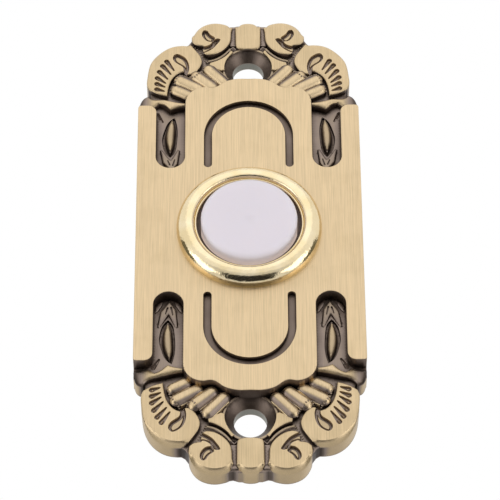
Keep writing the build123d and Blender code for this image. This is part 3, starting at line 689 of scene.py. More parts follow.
def triangulated(points, edges, only_inside):
    """Triangles between the points that keep every given edge, and the given points behind each corner."""
    made = delaunay_2d_cdt([Vector(p) for p in points], edges, [], only_inside, WELD)
    return np.array([tuple(v) for v in made[0]]), np.array([f for f in made[2] if len(f) == 3]), made[3]


def turned_alike(spots, faces, way):
    """All triangles turned the same way round: 1 for the front and -1 for the back."""
    a, b, c = (spots[faces[:, k]] for k in (0, 1, 2))
    wrong = np.cross(b - a, c - a) * way < 0
    faces[wrong] = faces[wrong][:, ::-1]
    return faces


spots, faces, _ = triangulated(points, edges, 0)
spots[np.abs(spots) < 2 * WELD] = 0
level = height(np.abs(spots))
centre = spots[faces].mean(1)
metal = (level[faces] > NOTHING).all(1) & (centre > 0).all(1) & (spots[faces] >= 0).all(2).all(1)
metal &= height(centre) > NOTHING
faces = faces[metal]
used = np.unique(faces)
renumber = np.full(len(spots), -1)
renumber[used] = np.arange(len(used))
spots, level = spots[used], level[used]
faces = turned_alike(spots, renumber[faces], 1)
print("front of a quarter:", len(spots), "points,", len(faces), "faces")

# %% [markdown]
# ## The back and the side wall
# A casting is hollowed behind so that it cools evenly and costs less metal.  The back lies flat on the
# wall along a rim and round the two screw holes.  It is triangulated from the front's own rim points,
# so that the side wall joins the two without a gap.

# %% The flat back, hollowed as a casting is
hollow = outline(*[[p] for p in [
    (-1, -1), (PLATE_HALF - 1.9, -1), (PLATE_HALF - 1.9, 26.0), (16.0, 29.0), (15.5, 32.0), (15.3, 34.5),
    (14.2, 37.3), (11.6, 39.0), (8.6, 39.6), (7.7, 42.0), (6.4, 44.0), (4.0, 44.2), (2.7, 42.9), (0.0, 43.6),
    (-1, 43.6)]])
HOLLOW_DEPTH = 1.85
BOSS_RADIUS = 5.5


def back_depth(places):
    """Y of the back in millimetres: 0 where it touches the wall, less in the hollow."""
    open_here = (inside(places, hollow) > 0) & (np.hypot(places[:, 0], places[:, 1] - HOLE_UP) > BOSS_RADIUS)
    return np.where(open_here, -HOLLOW_DEPTH, 0.0)


def rim_edges(faces):
    """The edges that only one face uses, in that face's direction."""
    sides = np.concatenate([faces[:, [0, 1]], faces[:, [1, 2]], faces[:, [2, 0]]])
    key = np.sort(sides, axis=1)
    _, first, count = np.unique(key, axis=0, return_index=True, return_counts=True)
    return sides[first[count == 1]]


rim = rim_edges(faces)
rim_points = np.unique(rim)
points = [tuple(spots[i]) for i in rim_points]
place_of = {int(i): k for k, i in enumerate(rim_points)}
edges = [(place_of[int(a)], place_of[int(b)]) for a, b in rim]
for loop in (hollow, circle((0, HOLE_UP), BOSS_RADIUS)):
    for offset in (-HAIR, HAIR):
        moved, good, pairs = ring(loop, offset)
        good &= (moved > 0.01).all(1) & (height(moved) > NOTHING)
        number = {int(i): len(points) + k for k, i in enumerate(np.flatnonzero(good))}
        points.extend(map(tuple, moved[good]))
        edges.extend((number[a], number[b]) for a, b in pairs if a in number and b in number)
rear_spots, rear_faces, origins = triangulated(points, edges, 1)
rear_of = {source: k for k, sources in enumerate(origins) for source in sources}
rear_faces = turned_alike(rear_spots, rear_faces, -1)
keep = height(np.abs(rear_spots[rear_faces].mean(1))) > NOTHING
rear_faces = rear_faces[keep]
print("back of a quarter:", len(rear_spots), "points,", len(rear_faces), "faces; rim edges", len(rim))

# %% [markdown]
# ## Patina and painted shade
# The darkened layer survives wherever the brushing wheel couldn't reach: on floors, in corners and
# down the rounded edges.  How deep a place lies below its surroundings, and how much of the sky its
# neighbours hide, say that for every point.  Painted shade darkens one side of each rib and the falling
# outer end of the collar; the value is kept on the mesh as an attribute.

# %% A height map to look round in
GRID = 0.1
grid_x = np.arange(-3.0, PLATE_HALF + 3.0, GRID)
grid_y = np.arange(-3.0, PLATE_TOP + 3.0, GRID)
mesh_x, mesh_y = np.meshgrid(grid_x, grid_y)
grid_height = height(np.abs(np.stack([mesh_x.ravel(), mesh_y.ravel()], axis=1))).reshape(mesh_x.shape)
in_screw_hole = np.hypot(mesh_x, np.abs(mesh_y) - HOLE_UP) < HOLE_RADIUS
grid_height = np.where(in_screw_hole, -CONE_END, np.maximum(grid_height, -THICK))
print("height map:", grid_height.shape)


def sampled(places):
    """Height at places, read from the grid."""
    column = np.clip((places[:, 0] - grid_x[0]) / GRID, 0, len(grid_x) - 1.001)
    row = np.clip((places[:, 1] - grid_y[0]) / GRID, 0, len(grid_y) - 1.001)
    i, j = row.astype(int), column.astype(int)
    u, v = row - i, column - j
    return ((1 - u) * (1 - v) * grid_height[i, j] + u * (1 - v) * grid_height[i + 1, j]
            + (1 - u) * v * grid_height[i, j + 1] + u * v * grid_height[i + 1, j + 1])


# %% Work out the patina and the painted shade
# how dark each kind of place is, from 0 for bright brass to 1 for nearly black
FLOOR_STAIN, WALL_STAIN, GROOVE_STAIN, EDGE_STAIN = 0.34, 0.66, 0.5, 0.55
STROKE_STAIN, HIDDEN_STAIN, LOBE_STAIN, LEAF_STAIN, TIP_STAIN = 0.52, 0.3, 0.07, 0.2, 0.36
RIB_SHADED_SIDE, RIB_FOOT_STAIN, COLLAR_SLOPE_SHADE, CONE_STAIN = 0.52, 0.8, 0.4, 0.1
DARKEST = 0.77
LOOKS = (0.12, 0.22, 0.4, 0.7, 1.1)
DIRECTIONS = 16


def patina_and_shade(places, own):
    """How dark the front is at each place, from its own height and what stands round it."""
    horizon_sum = np.zeros(len(places))
    beside, lowest = own.copy(), own.copy()
    for turn in np.arange(0, 2 * math.pi, 2 * math.pi / DIRECTIONS):
        way = np.array([math.cos(turn), math.sin(turn)])
        horizon = np.zeros(len(places))
        for reach in LOOKS:
            seen = sampled(places + way * reach)
            horizon = np.maximum(horizon, np.arctan2(seen - own, reach))
            if reach == LOOKS[0]:
                beside, lowest = np.maximum(beside, seen), np.minimum(lowest, seen)
        horizon_sum += np.sin(horizon) ** 2
    # deep floors and steep walls are dark, and so is what the neighbours hide
    floors = np.maximum(FLOOR_STAIN * ease(-own, 1.7, 2.2), GROOVE_STAIN * (inside(places, arch) > 0.05))
    walls = WALL_STAIN * ease(beside - own, 0.12, 0.6)
    hidden = HIDDEN_STAIN * horizon_sum / DIRECTIONS
    value = np.maximum(floors, walls) + hidden + LOBE_STAIN * ease(-own, 0.9, 1.4)
    # the wheel also rubs the outer shoulder of each lobe bright
    for lobe, outside, *_ in leaning:
        middle = outside[len(outside) // 8:-(len(outside) // 8)]
        near = 1 - ease(from_line(places, middle), 0.3, 0.9)
        value = value * np.where(inside(places, lobe) > 0, 1 - 0.8 * near, 1)
    # a stroke is dark beside its ridge, and paler on it
    for loop, floor, wall, ridge in cuts:
        depth = inside(places, loop)
        if ridge:
            on_ridge = ease(depth, ridge - 0.06, ridge + 0.06)
            value = np.where(depth > -HAIR * 2, 0.72 * value, value)
            value = np.where(depth > 0.05, STROKE_STAIN * (1 - 0.7 * on_ridge), value)
    # a thin dark line stays at the lip of every drop
    fallen = (own - lowest > 0.5) & (lowest > 0.5 - THICK)
    for loop, top, radius in raised[1:]:
        depth = inside(places, loop)
        value = np.where(fallen & (depth > 0) & (depth < HAIR * 1.3), np.maximum(value, EDGE_STAIN), value)
    # the channel's leaf is polished, its pointed tip half so
    value = np.where(inside(places, leaf) > 0.15, LEAF_STAIN, value)
    value = np.where((inside(places, leaf_tip) > 0.15) & (own < -1.7), np.maximum(value, TIP_STAIN), value)
    # one side of each rib is darkened with painted shade, and the crease round its foot keeps its stain
    for foot, head, width in gadroons:
        run = np.subtract(head, foot) / np.hypot(*np.subtract(head, foot))
        side = ((places - foot) @ np.array([-run[1], run[0]])) / (width / 2)
        share = from_line(places, np.array([foot, head])) / (width / 2)
        shaded_side_and_crease = np.maximum(RIB_SHADED_SIDE * ease(side, 0.15, 0.6), RIB_FOOT_STAIN * ease(share, 0.86, 1.0))
        value = np.where((share < 1) & (own < -0.9), shaded_side_and_crease, value)
    across, up = places[:, 0], places[:, 1]
    # painted shade: the collar darkens towards its outer end, where it slopes down away from the light
    collar_slope_shade = COLLAR_SLOPE_SHADE * ease(across, 16.0, 18.0) * ease(up, 26.4, 27.0) * (up < 30.2)
    on_cone = CONE_STAIN * (np.hypot(across, up - HOLE_UP) < SINK_RADIUS)
    return np.clip(value + collar_slope_shade + on_cone, 0, DARKEST)


def crowding(places):
    """How much metal stands round a place on the side wall: 0 on a straight side, 1 in a deep nook."""
    total = np.zeros(len(places))
    turns, reaches = np.arange(0, 2 * math.pi, math.pi / 32), np.arange(0.4, 3.7, 0.3)
    for turn in turns:
        for reach in reaches:
            seen = sampled(places + reach * np.array([math.cos(turn), math.sin(turn)]))
            total += np.clip((seen + THICK) / 2, 0, 1)
    return ease(total / (len(turns) * len(reaches)), 0.47, 0.62)


front_patina_and_shade = patina_and_shade(spots, level)
print("patina from", round(float(front_patina_and_shade.min()), 2), "to", round(float(front_patina_and_shade.max()), 2))

# %% Put front, side wall and back together and mirror them
BACK_STAIN, HOLE_STAIN = 0.35, 0.3
SIDE_STAIN, NOOK_STAIN = 0.12, 0.75
WALL_ROWS = (0.12, 0.5, 0.88)
SAME_PLACE = 2e-7
SHARP = math.radians(38)
vertices = [np.stack([spots[:, 0], -(THICK + level), spots[:, 1]], axis=1)]
stain_and_shade = [front_patina_and_shade]
bare = [np.zeros(len(spots))]
solid_faces = [list(map(tuple, faces))]
rear_first = len(spots)
vertices.append(np.stack([rear_spots[:, 0], back_depth(np.abs(rear_spots)), rear_spots[:, 1]], axis=1))
stain_and_shade.append(np.full(len(rear_spots), BACK_STAIN))
bare.append(np.zeros(len(rear_spots)))
solid_faces.append([tuple(rear_first + f) for f in rear_faces])

wall_first = rear_first + len(rear_spots)
in_hole = np.hypot(spots[rim_points, 0], spots[rim_points, 1] - HOLE_UP) < HOLE_RADIUS + 0.1
nook = crowding(spots[rim_points])
rear_y = np.array([vertices[1][rear_of[k], 1] for k in range(len(rim_points))])
front_y = vertices[0][rim_points, 1]
for share in WALL_ROWS:
    row_y = front_y + share * (rear_y - front_y)
    vertices.append(np.stack([spots[rim_points, 0], row_y, spots[rim_points, 1]], axis=1))
    stain_and_shade.append(np.where(in_hole, HOLE_STAIN, SIDE_STAIN + NOOK_STAIN * nook))
    bare.append(in_hole.astype(float))


def wall_column(point):
    """The mesh points below one another at one rim point, from the front to the back."""
    i = place_of[int(point)]
    between_rows = [wall_first + k * len(rim_points) + i for k in range(len(WALL_ROWS))]
    return [int(point)] + between_rows + [rear_first + rear_of[i]]


walls = []
for a, b in rim:
    if (spots[[a, b], 0] == 0).all() or (spots[[a, b], 1] == 0).all():
        continue
    column_a, column_b = wall_column(a), wall_column(b)
    for k in range(len(column_a) - 1):
        walls.append((column_b[k], column_a[k], column_a[k + 1], column_b[k + 1]))
solid_faces.append(walls)
quarter = np.concatenate(vertices) * MM
quarter_stain_and_shade, quarter_bare = np.concatenate(stain_and_shade), np.concatenate(bare)
quarter_faces = [f for group in solid_faces for f in group]

all_vertices, all_faces = [], []
for across in (1, -1):
    for upward in (1, -1):
        first = len(all_vertices) * len(quarter)
        all_vertices.append(quarter * [across, 1, upward])
        step = 1 if across * upward == 1 else -1
        all_faces.extend(tuple(first + i for i in f[::step]) for f in quarter_faces)
mesh = bpy.data.meshes.new("carved_plate")
mesh.from_pydata(np.concatenate(all_vertices).tolist(), [], [tuple(int(i) for i in f) for f in all_faces])
for name, values in (("patina_and_shade", quarter_stain_and_shade), ("bare", quarter_bare)):
    layer = mesh.attributes.new(name, "FLOAT", "POINT")
    layer.data.foreach_set("value", np.tile(values, 4).astype(np.float32))
work = bmesh.new()
work.from_mesh(mesh)
bmesh.ops.remove_doubles(work, verts=work.verts, dist=SAME_PLACE)
bmesh.ops.recalc_face_normals(work, faces=work.faces)
work.to_mesh(mesh)
open_edges = sum(1 for e in work.edges if not e.is_manifold)
work.free()
mesh.shade_smooth()
mesh.set_sharp_from_angle(angle=SHARP)
plate = bpy.data.objects.new("carved_plate", mesh)
bpy.context.scene.collection.objects.link(plate)
print("plate:", len(mesh.vertices), "points,", len(mesh.polygons), "faces, open edges", open_edges)

# %% [markdown]
# ## Antique brass, cast, darkened and brushed
# Darkening turns brass brown-grey; brushing then brings back a pale, warm gold on the high places,
# with fine straight scratches that run along the plate and spread its reflections across it.  The
# attribute worked out above chooses the tone.  A slow cloud lets it wander, because a wheel held by
# hand never presses evenly, and noise drawn out along Z makes the scratches.

# %% Antique brass
GRAIN_SCALE = (8200, 8200, 170)
CLOUD_SCALE = (260, 260, 200)
CLOUD_SWAY = 0.22
BARE_METAL = "#8F8E86"
PATINA_TONES = [(0.0, "#D6BF9A"), (0.1, "#C8B28D"), (0.27, "#AA9880"), (0.45, "#94857B"), (0.62, "#6F6259"),
                (0.8, "#473C35"), (1.0, "#271F1B")]


def brushed_brass():
    """To the eye: silky pale gold with upright scratches, sinking to soft brown in every hollow."""
    material, tree = new_material("antique_brass_brushed")
    place = node(tree, "ShaderNodeTexCoord").outputs["Object"]
    stain_and_shade = node(tree, "ShaderNodeAttribute", attribute_name="patina_and_shade").outputs["Fac"]
    bare = node(tree, "ShaderNodeAttribute", attribute_name="bare").outputs["Fac"]
    grain = noise(tree, place, GRAIN_SCALE, 4.0)
    cloud = noise(tree, place, CLOUD_SCALE, 3.0)
    shifted = node(tree, "ShaderNodeMath", {0: cloud, 1: 0.5}, operation="SUBTRACT")
    wander = node(tree, "ShaderNodeMath", {0: shifted.outputs[0], 1: CLOUD_SWAY, 2: stain_and_shade},
                  operation="MULTIPLY_ADD")
    colour = ramp(tree, wander.outputs[0], PATINA_TONES)
    # the drilled screw hole shows the grey metal under the brass
    metal_tone = node(tree, "ShaderNodeMix", {"Factor": bare, "A": colour, "B": linear(BARE_METAL)},
                      data_type="RGBA")
    streaked = node(tree, "ShaderNodeMix", {"Factor": 1.0, "A": metal_tone.outputs["Result"]}, data_type="RGBA",
                    blend_type="MULTIPLY")
    tree.links.new(between(tree, grain, 0.3, 0.7, 0.84, 1.11), streaked.inputs["B"])
    bump = node(tree, "ShaderNodeBump", {"Height": grain, "Strength": 0.12, "Distance": 0.00004})
    surface(tree, {"Base Color": streaked.outputs["Result"], "Metallic": 1.0, "Normal": bump.outputs[0],
                   "Roughness": between(tree, grain, 0.3, 0.7, 0.36, 0.5)})
    return material


plate.data.materials.append(brushed_brass())
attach(plate, "housing")
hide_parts("face_plate")
print("plate wears", plate.data.materials[0].name)

# %% [markdown]
# ## Polished brass
# The bezel ring is spun from thin sheet, polished on a wheel and lacquered.  It is almost a mirror:
# what one sees in it is the room.  Faint rings from the polishing run round it, and the lacquer's
# slight unevenness bends the reflected edges.

# %% Polished brass
MARKS_PER_METRE = 6000
CLOUDS_PER_METRE = 330
PEEL_PER_METRE = 2200


def polished_brass():
    """To the eye: pale gold mirror with soft-edged reflections and a trace of turning marks."""
    material, tree = new_material("polished_brass_lacquered")
    place = node(tree, "ShaderNodeTexCoord").outputs["Object"]
    parts = node(tree, "ShaderNodeSeparateXYZ", {0: place})
    flat_place = node(tree, "ShaderNodeCombineXYZ", {"X": parts.outputs["X"], "Y": parts.outputs["Z"]})
    radius = node(tree, "ShaderNodeVectorMath", {0: flat_place.outputs[0]}, operation="LENGTH")
    marks_place = node(tree, "ShaderNodeCombineXYZ", {"X": radius.outputs["Value"], "Y": parts.outputs["Y"]})
    marks = noise(tree, marks_place.outputs[0], (MARKS_PER_METRE, MARKS_PER_METRE, 1), 2.0)
    cloud = noise(tree, place, [CLOUDS_PER_METRE] * 3, 2.0)
    peel = noise(tree, place, [PEEL_PER_METRE] * 3, 2.0)
    uneven = node(tree, "ShaderNodeBump", {"Height": peel, "Strength": 1.0, "Distance": 0.00003})
    bump = node(tree, "ShaderNodeBump", {"Height": marks, "Strength": 0.15, "Distance": 0.00002,
                                         "Normal": uneven.outputs[0]})
    surface(tree, {"Base Color": ramp(tree, cloud, [(0.3, "#E6D2A6"), (0.7, "#EFDFBC")]), "Metallic": 1.0,
                   "Roughness": between(tree, marks, 0.3, 0.7, 0.1, 0.2), "Normal": bump.outputs[0]})
    return material


ring_finish = polished_brass()
print("ring finish:", ring_finish.name)

# %% [markdown]
# ## The plainer finishes
# The button is moulded in milky plastic, which lets light in a little way and so looks soft.  What lies
# behind the plate is plain: a barrel of brown phenolic plastic, rolled brass strip, zinc-plated screws,
# tinned copper wire and an epoxy lamp.  They differ in colour, gloss and the size of their grain only,
# so one function makes them all.

# %% One builder for the plainer finishes
def plain_finish(name, colour, mottle, metallic, roughness, grain_mm, bump_mm=0.0, stretch=(1, 1, 1),
                 **sockets):
    """A finish whose colour and gloss wander a little; the grain size is given in millimetres."""
    material, tree = new_material(name)
    place = node(tree, "ShaderNodeTexCoord").outputs["Object"]
    grain = noise(tree, place, [1000 / grain_mm * k for k in stretch], 3.0)
    tone = ramp(tree, grain, [(0.2, mottle), (0.8, colour)])
    rough = between(tree, grain, 0.2, 0.8, roughness * 1.15, roughness * 0.88)
    shader = surface(tree, {"Base Color": tone, "Metallic": metallic, "Roughness": rough, **sockets})
    if bump_mm:
        bump = node(tree, "ShaderNodeBump", {"Height": grain, "Strength": 1.0, "Distance": bump_mm * MM})
        tree.links.new(bump.outputs[0], shader.inputs["Normal"])
    return material


milky = {"Subsurface Weight": 0.5, "Subsurface Radius": (1.0, 0.9, 0.8), "Subsurface Scale": 0.003, "IOR": 1.52}
clear = {"Transmission Weight": 0.35, "IOR": 1.54}
finish = {
    "polished_brass": ring_finish,
    # cool white, glossy, with no edge to its shadows
    "button_plastic": plain_finish("milky_plastic_moulded", "#E2DBE3", "#E1DAE2", 0.0, 0.25, 20.0, **milky),
    # dull dark brown with the fine pits of a filled resin
    "moulded_plastic": plain_finish("brown_phenolic_moulded", "#4A382C", "#3E2F26", 0.0, 0.5, 0.4, 0.004),
    # grey, with the lines of the rolling mill
    "spring_steel": plain_finish("spring_steel_rolled", "#8C8D90", "#77787B", 1.0, 0.3, 0.5, 0.002,
                                 (1, 1, 0.1)),
    # yellow, with lines along the strip
    "contact_brass": plain_finish("brass_strip_rolled", "#D8B978", "#C3A263", 1.0, 0.28, 0.4, 0.002,
                                  (0.1, 1, 1)),
    # pale blue-grey with faint crystals
    "plated_steel": plain_finish("steel_zinc_plated", "#C4C6C9", "#AFB2B6", 1.0, 0.26, 0.8),
    # silvery and slightly uneven
    "tinned_wire": plain_finish("copper_wire_tinned", "#C9CACC", "#B4B6B9", 1.0, 0.25, 0.6),
    # cloudy and cream, lit from within at its rim
    "lamp_epoxy": plain_finish("epoxy_diffused_cast", "#EFEBDD", "#E6E1D1", 0.0, 0.15, 1.5, **clear),
}
print("finishes:", len(finish) + 1)

# %% [markdown]
# ## Painted light at the button's foot
# The button's side turns warm and light towards the plate, where the polished brass ring throws light
# back onto it.  That bounce light is painted here as a weak emission that fades with the height above
# the plate.  The cap's edge is moulded round; the bevel node rounds it for the light alone and leaves the shape
# as it is.

# %% Painted warm light at the foot of the button
FOOT_LIGHT_PAINTED, FOOT_LIGHT_COLOUR = 0.45, "#FFE8D8"
FOOT_LIGHT_TOP, FOOT_LIGHT_LOW = 2.4, 0.3
CAP_ROUND = 0.9


def paint_light_at_foot(material):
    """Painted warm light low on the button's wall, as emission, and a soft edge round its cap."""
    tree = material.node_tree
    shader = next(n for n in tree.nodes if n.type == "BSDF_PRINCIPLED")
    place = node(tree, "ShaderNodeTexCoord").outputs["Object"]
    depth = node(tree, "ShaderNodeSeparateXYZ", {0: place}).outputs["Y"]
    # painted light: the emission stands in for the warm light the brass ring throws onto the button's foot
    painted_foot_light = between(tree, depth, -(THICK + FOOT_LIGHT_TOP) * MM, -(THICK + FOOT_LIGHT_LOW) * MM, 0.0, FOOT_LIGHT_PAINTED,
                        interpolation_type="SMOOTHSTEP")
    shader.inputs["Emission Color"].default_value = linear(FOOT_LIGHT_COLOUR)
    tree.links.new(painted_foot_light, shader.inputs["Emission Strength"])
    rounded_edge = node(tree, "ShaderNodeBevel", {"Radius": CAP_ROUND * MM})
    tree.links.new(rounded_edge.outputs[0], shader.inputs["Normal"])


paint_light_at_foot(finish["button_plastic"])
print("glow over", round(FOOT_LIGHT_TOP - FOOT_LIGHT_LOW, 1), "mm of the button's wall")

# %% [markdown]
# ## The resistor's bands
# A resistor is dipped in tan lacquer and gets painted rings that code its value.  The rings follow the
# height within the body's own box, so they stay in place whatever the resistor's size.

# %% The resistor's lacquer and its colour bands
TAN, GOLD, RED, BLACK, BROWN = "#CDB28A", "#C9A24A", "#B23A2A", "#1E1C1B", "#6B4226"
BANDS = [(0.0, TAN), (0.16, GOLD), (0.24, TAN), (0.4, RED), (0.48, TAN), (0.58, BLACK), (0.66, TAN),
         (0.76, BROWN), (0.84, TAN)]


def banded_lacquer():
    """To the eye: a glossy tan bead with four crisp painted rings."""
    material, tree = new_material("resistor_lacquer_banded")
    low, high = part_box("resistor")
    place = node(tree, "ShaderNodeTexCoord").outputs["Object"]
    upwards = node(tree, "ShaderNodeSeparateXYZ", {0: place}).outputs["Z"]
    tone = ramp(tree, between(tree, upwards, low.z, high.z), BANDS, "CONSTANT")
    surface(tree, {"Base Color": tone, "Roughness": 0.35})
    return material


finish["resistor_body"] = banded_lacquer()
print("bands:", len(BANDS) // 2)

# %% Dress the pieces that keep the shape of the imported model
WEARS = {"push_button": "button_plastic", "switch_body": "moulded_plastic", "retaining_ring": "spring_steel",
         "contact_ring": "contact_brass", "contact_strip_left": "contact_brass",
         "contact_strip_right": "contact_brass", "clamp_washer_left": "plated_steel",
         "clamp_washer_right": "plated_steel", "terminal_screw_left": "plated_steel",
         "terminal_screw_right": "plated_steel", "led_lamp": "lamp_epoxy", "led_lead_left": "tinned_wire",
         "led_lead_right": "tinned_wire", "resistor": "resistor_body", "resistor_wire_upper": "tinned_wire",
         "resistor_wire_lower": "tinned_wire"}
for name, model in nodes.items():
    slot_name = WEARS.get(name)
    if slot_name:
        model.data.materials.clear()
        model.data.materials.append(finish[slot_name])
        print(name, "->", finish[slot_name].name)

# %% [markdown]
# ## Shapes that follow a rule
# A ring is one profile carried round a circle, a coil spring is a wire carried along a spiral, and
# the tiny beads in the nook between two lobes are one bead repeated along a line.  Geometry Nodes
# say each rule once, with its sizes as named inputs.


# %% Helpers for Geometry Nodes
SAME_POINT = 1e-7
SHARP_EDGE = math.radians(35)


def geometry_tree(name, sizes):
    """A tree with the geometry and the named sizes as its inputs, and the sockets of those inputs."""
    tree = bpy.data.node_groups.new(name, "GeometryNodeTree")
    tree.interface.new_socket("Geometry", in_out="INPUT", socket_type="NodeSocketGeometry")
    for label, value in sizes.items():
        kind = "NodeSocketInt" if isinstance(value, int) else "NodeSocketFloat"
        tree.interface.new_socket(label, in_out="INPUT", socket_type=kind)
    tree.interface.new_socket("Geometry", in_out="OUTPUT", socket_type="NodeSocketGeometry")
    return tree, node(tree, "NodeGroupInput").outputs


def close_tree(tree, geometry, material):
    """End a tree with real geometry that wears one material."""
    real = node(tree, "GeometryNodeRealizeInstances", {"Geometry": geometry})
    clad = node(tree, "GeometryNodeSetMaterial", {"Geometry": real.outputs[0], "Material": material})
    node(tree, "NodeGroupOutput", {"Geometry": clad.outputs[0]})


def grown(name, seed, tree, sizes, body):
    """The mesh that a tree makes from a seed mesh, as a plain object that rides on a body."""
    piece = bpy.data.objects.new(name, seed)
    bpy.context.scene.collection.objects.link(piece)
    modifier = piece.modifiers.new(name, "NODES")
    modifier.node_group = tree
    for item in tree.interface.items_tree:
        if item.item_type == "SOCKET" and item.in_out == "INPUT" and item.name in sizes:
            modifier[item.identifier] = sizes[item.name]
    shape = bpy.data.meshes.new_from_object(piece.evaluated_get(bpy.context.evaluated_depsgraph_get()))
    piece.modifiers.remove(modifier)
    piece.data = shape
    work = bmesh.new()
    work.from_mesh(shape)
    bmesh.ops.remove_doubles(work, verts=work.verts, dist=SAME_POINT)
    bmesh.ops.recalc_face_normals(work, faces=work.faces)
    gaps = sum(1 for e in work.edges if not e.is_manifold)
    work.to_mesh(shape)
    work.free()
    shape.shade_smooth()
    shape.set_sharp_from_angle(angle=SHARP_EDGE)
    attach(piece, body)
    print(name + ":", len(shape.polygons), "faces, open edges", gaps)
    return piece


def line_mesh(name, runs, closed=False):
    """A mesh of points and edges only, from runs of points in millimetres."""
    points, pairs = [], []
    for run in runs:
        first = len(points)
        points.extend(Vector(p) * MM for p in run)
        pairs.extend((first + i, first + i + 1) for i in range(len(run) - 1))
        if closed:
            pairs.append((len(points) - 1, first))
    made = bpy.data.meshes.new(name)
    made.from_pydata(points, pairs, [])
    return made


# %% [markdown]
# ## Bezel ring
# A disc of thin brass is pressed over a former, so its section is a quarter of an ellipse outside, a
# tighter roll inside and a small lip where the sheet ends.  Underneath it is open for the flange of the
# switch body.  The section is drawn as (radius, height) and carried round the button.

# %% Bezel ring: a profile carried round a circle
RING_OUT, RING_IN, RING_CREST = 12.15, 8.8, 9.75
RING_HEIGHT, RING_EDGE, RING_ROLL = 2.35, 0.35, 0.8
LIP_RADIUS, LIP_HEIGHT = 0.17, 1.62
FLANGE_POCKET, FLANGE_THICK = 11.0, 1.0
CARRIED_AT = 10.0
OUTER_POINTS, ROLL_POINTS, LIP_POINTS = 22, 12, 9
rise = RING_HEIGHT - RING_EDGE
outer_curve = [(RING_CREST + (RING_OUT - RING_CREST) * math.cos(a), RING_EDGE + rise * math.sin(a))
               for a in np.linspace(0, math.pi / 2, OUTER_POINTS)]
lip_centre = RING_IN + LIP_RADIUS
roll_width = RING_CREST - lip_centre - LIP_RADIUS
inner_curve = [(RING_CREST + roll_width * math.cos(a), RING_HEIGHT - RING_ROLL + RING_ROLL * math.sin(a))
               for a in np.linspace(math.pi / 2, math.pi, ROLL_POINTS)[1:]]
lip = [(lip_centre + LIP_RADIUS * math.cos(a), LIP_HEIGHT + LIP_RADIUS * math.sin(a))
       for a in np.linspace(0, math.pi, LIP_POINTS)]
profile = [(RING_OUT, 0.0)] + outer_curve + inner_curve + lip + [
    (RING_IN, FLANGE_THICK), (FLANGE_POCKET, FLANGE_THICK), (FLANGE_POCKET, 0.0)]
sizes = {"Turn steps": 128, "Circle radius": CARRIED_AT * MM}
tree, given = geometry_tree("ring_from_profile", sizes)
around = node(tree, "GeometryNodeCurvePrimitiveCircle", {"Resolution": given["Turn steps"],
                                                         "Radius": given["Circle radius"]})
section = node(tree, "GeometryNodeMeshToCurve", {"Mesh": given["Geometry"]})
swept = node(tree, "GeometryNodeCurveToMesh", {"Curve": around.outputs[0], "Profile Curve": section.outputs[0]})
upright = node(tree, "GeometryNodeTransform", {"Geometry": swept.outputs[0], "Rotation": (-math.pi / 2, 0, 0),
                                               "Translation": (0, -THICK * MM, 0)})
close_tree(tree, upright.outputs[0], finish["polished_brass"])
ring_seed = line_mesh("bezel_profile", [[(r - CARRIED_AT, h, 0) for r, h in profile]], closed=True)
bezel = grown("rolled_bezel", ring_seed, tree, sizes, "housing")
print("bezel box", [[round(v / MM, 2) for v in c] for c in (bezel.bound_box[0], bezel.bound_box[6])])
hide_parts("bezel_ring")

# %% [markdown]
# ## Return spring
# The spring is steel wire wound on a rod.  It stands behind the button and takes its length and width
# from the imported model.  Pressing the button shortens it towards its rear end; at the end of the travel
# it is as much shorter as the button has moved.

# %% Return spring: a wire carried along a spiral
spring_low, spring_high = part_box("return_spring")
WIRE = 0.5
TURNS = 6.0
spring_length = (spring_high.y - spring_low.y) / MM - WIRE
sizes = {"Turns": TURNS, "Mean radius": spring_high.x - WIRE / 2 * MM, "Length": spring_length * MM,
         "Wire radius": WIRE / 2 * MM}
tree, given = geometry_tree("coil_spring", sizes)
spiral = node(tree, "GeometryNodeCurveSpiral", {
    "Resolution": 48, "Rotations": given["Turns"], "Start Radius": given["Mean radius"],
    "End Radius": given["Mean radius"], "Height": given["Length"]})
wire = node(tree, "GeometryNodeCurvePrimitiveCircle", {"Resolution": 12, "Radius": given["Wire radius"]})
coil = node(tree, "GeometryNodeCurveToMesh", {"Curve": spiral.outputs[0], "Profile Curve": wire.outputs[0],
                                              "Fill Caps": True})
laid = node(tree, "GeometryNodeTransform", {"Geometry": coil.outputs[0], "Rotation": (-math.pi / 2, 0, 0),
                                            "Translation": (0, spring_low.y + WIRE / 2 * MM, 0)})
close_tree(tree, laid.outputs[0], finish["spring_steel"])
spring_seed = line_mesh("spring_seed", [[(0, 0, 0), (0, 0, 1)]])
spring = grown("return_coil", spring_seed, tree, sizes, "housing")
print("spring box", [[round(v / MM, 2) for v in c] for c in (spring.bound_box[0], spring.bound_box[6])],
      "model", [round(v / MM, 2) for v in (*spring_low, *spring_high)])
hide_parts("return_spring")
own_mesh(spring)

# %% [markdown]
# ## Beads
# In the casting a string of tiny beads fills the nook between shell and scroll and runs along the lower
# ends of the ribs.  A carver punches them one by one along a line; here one bead is repeated along the
# same line, at an even spacing, and sunk a little into whatever it lies on.

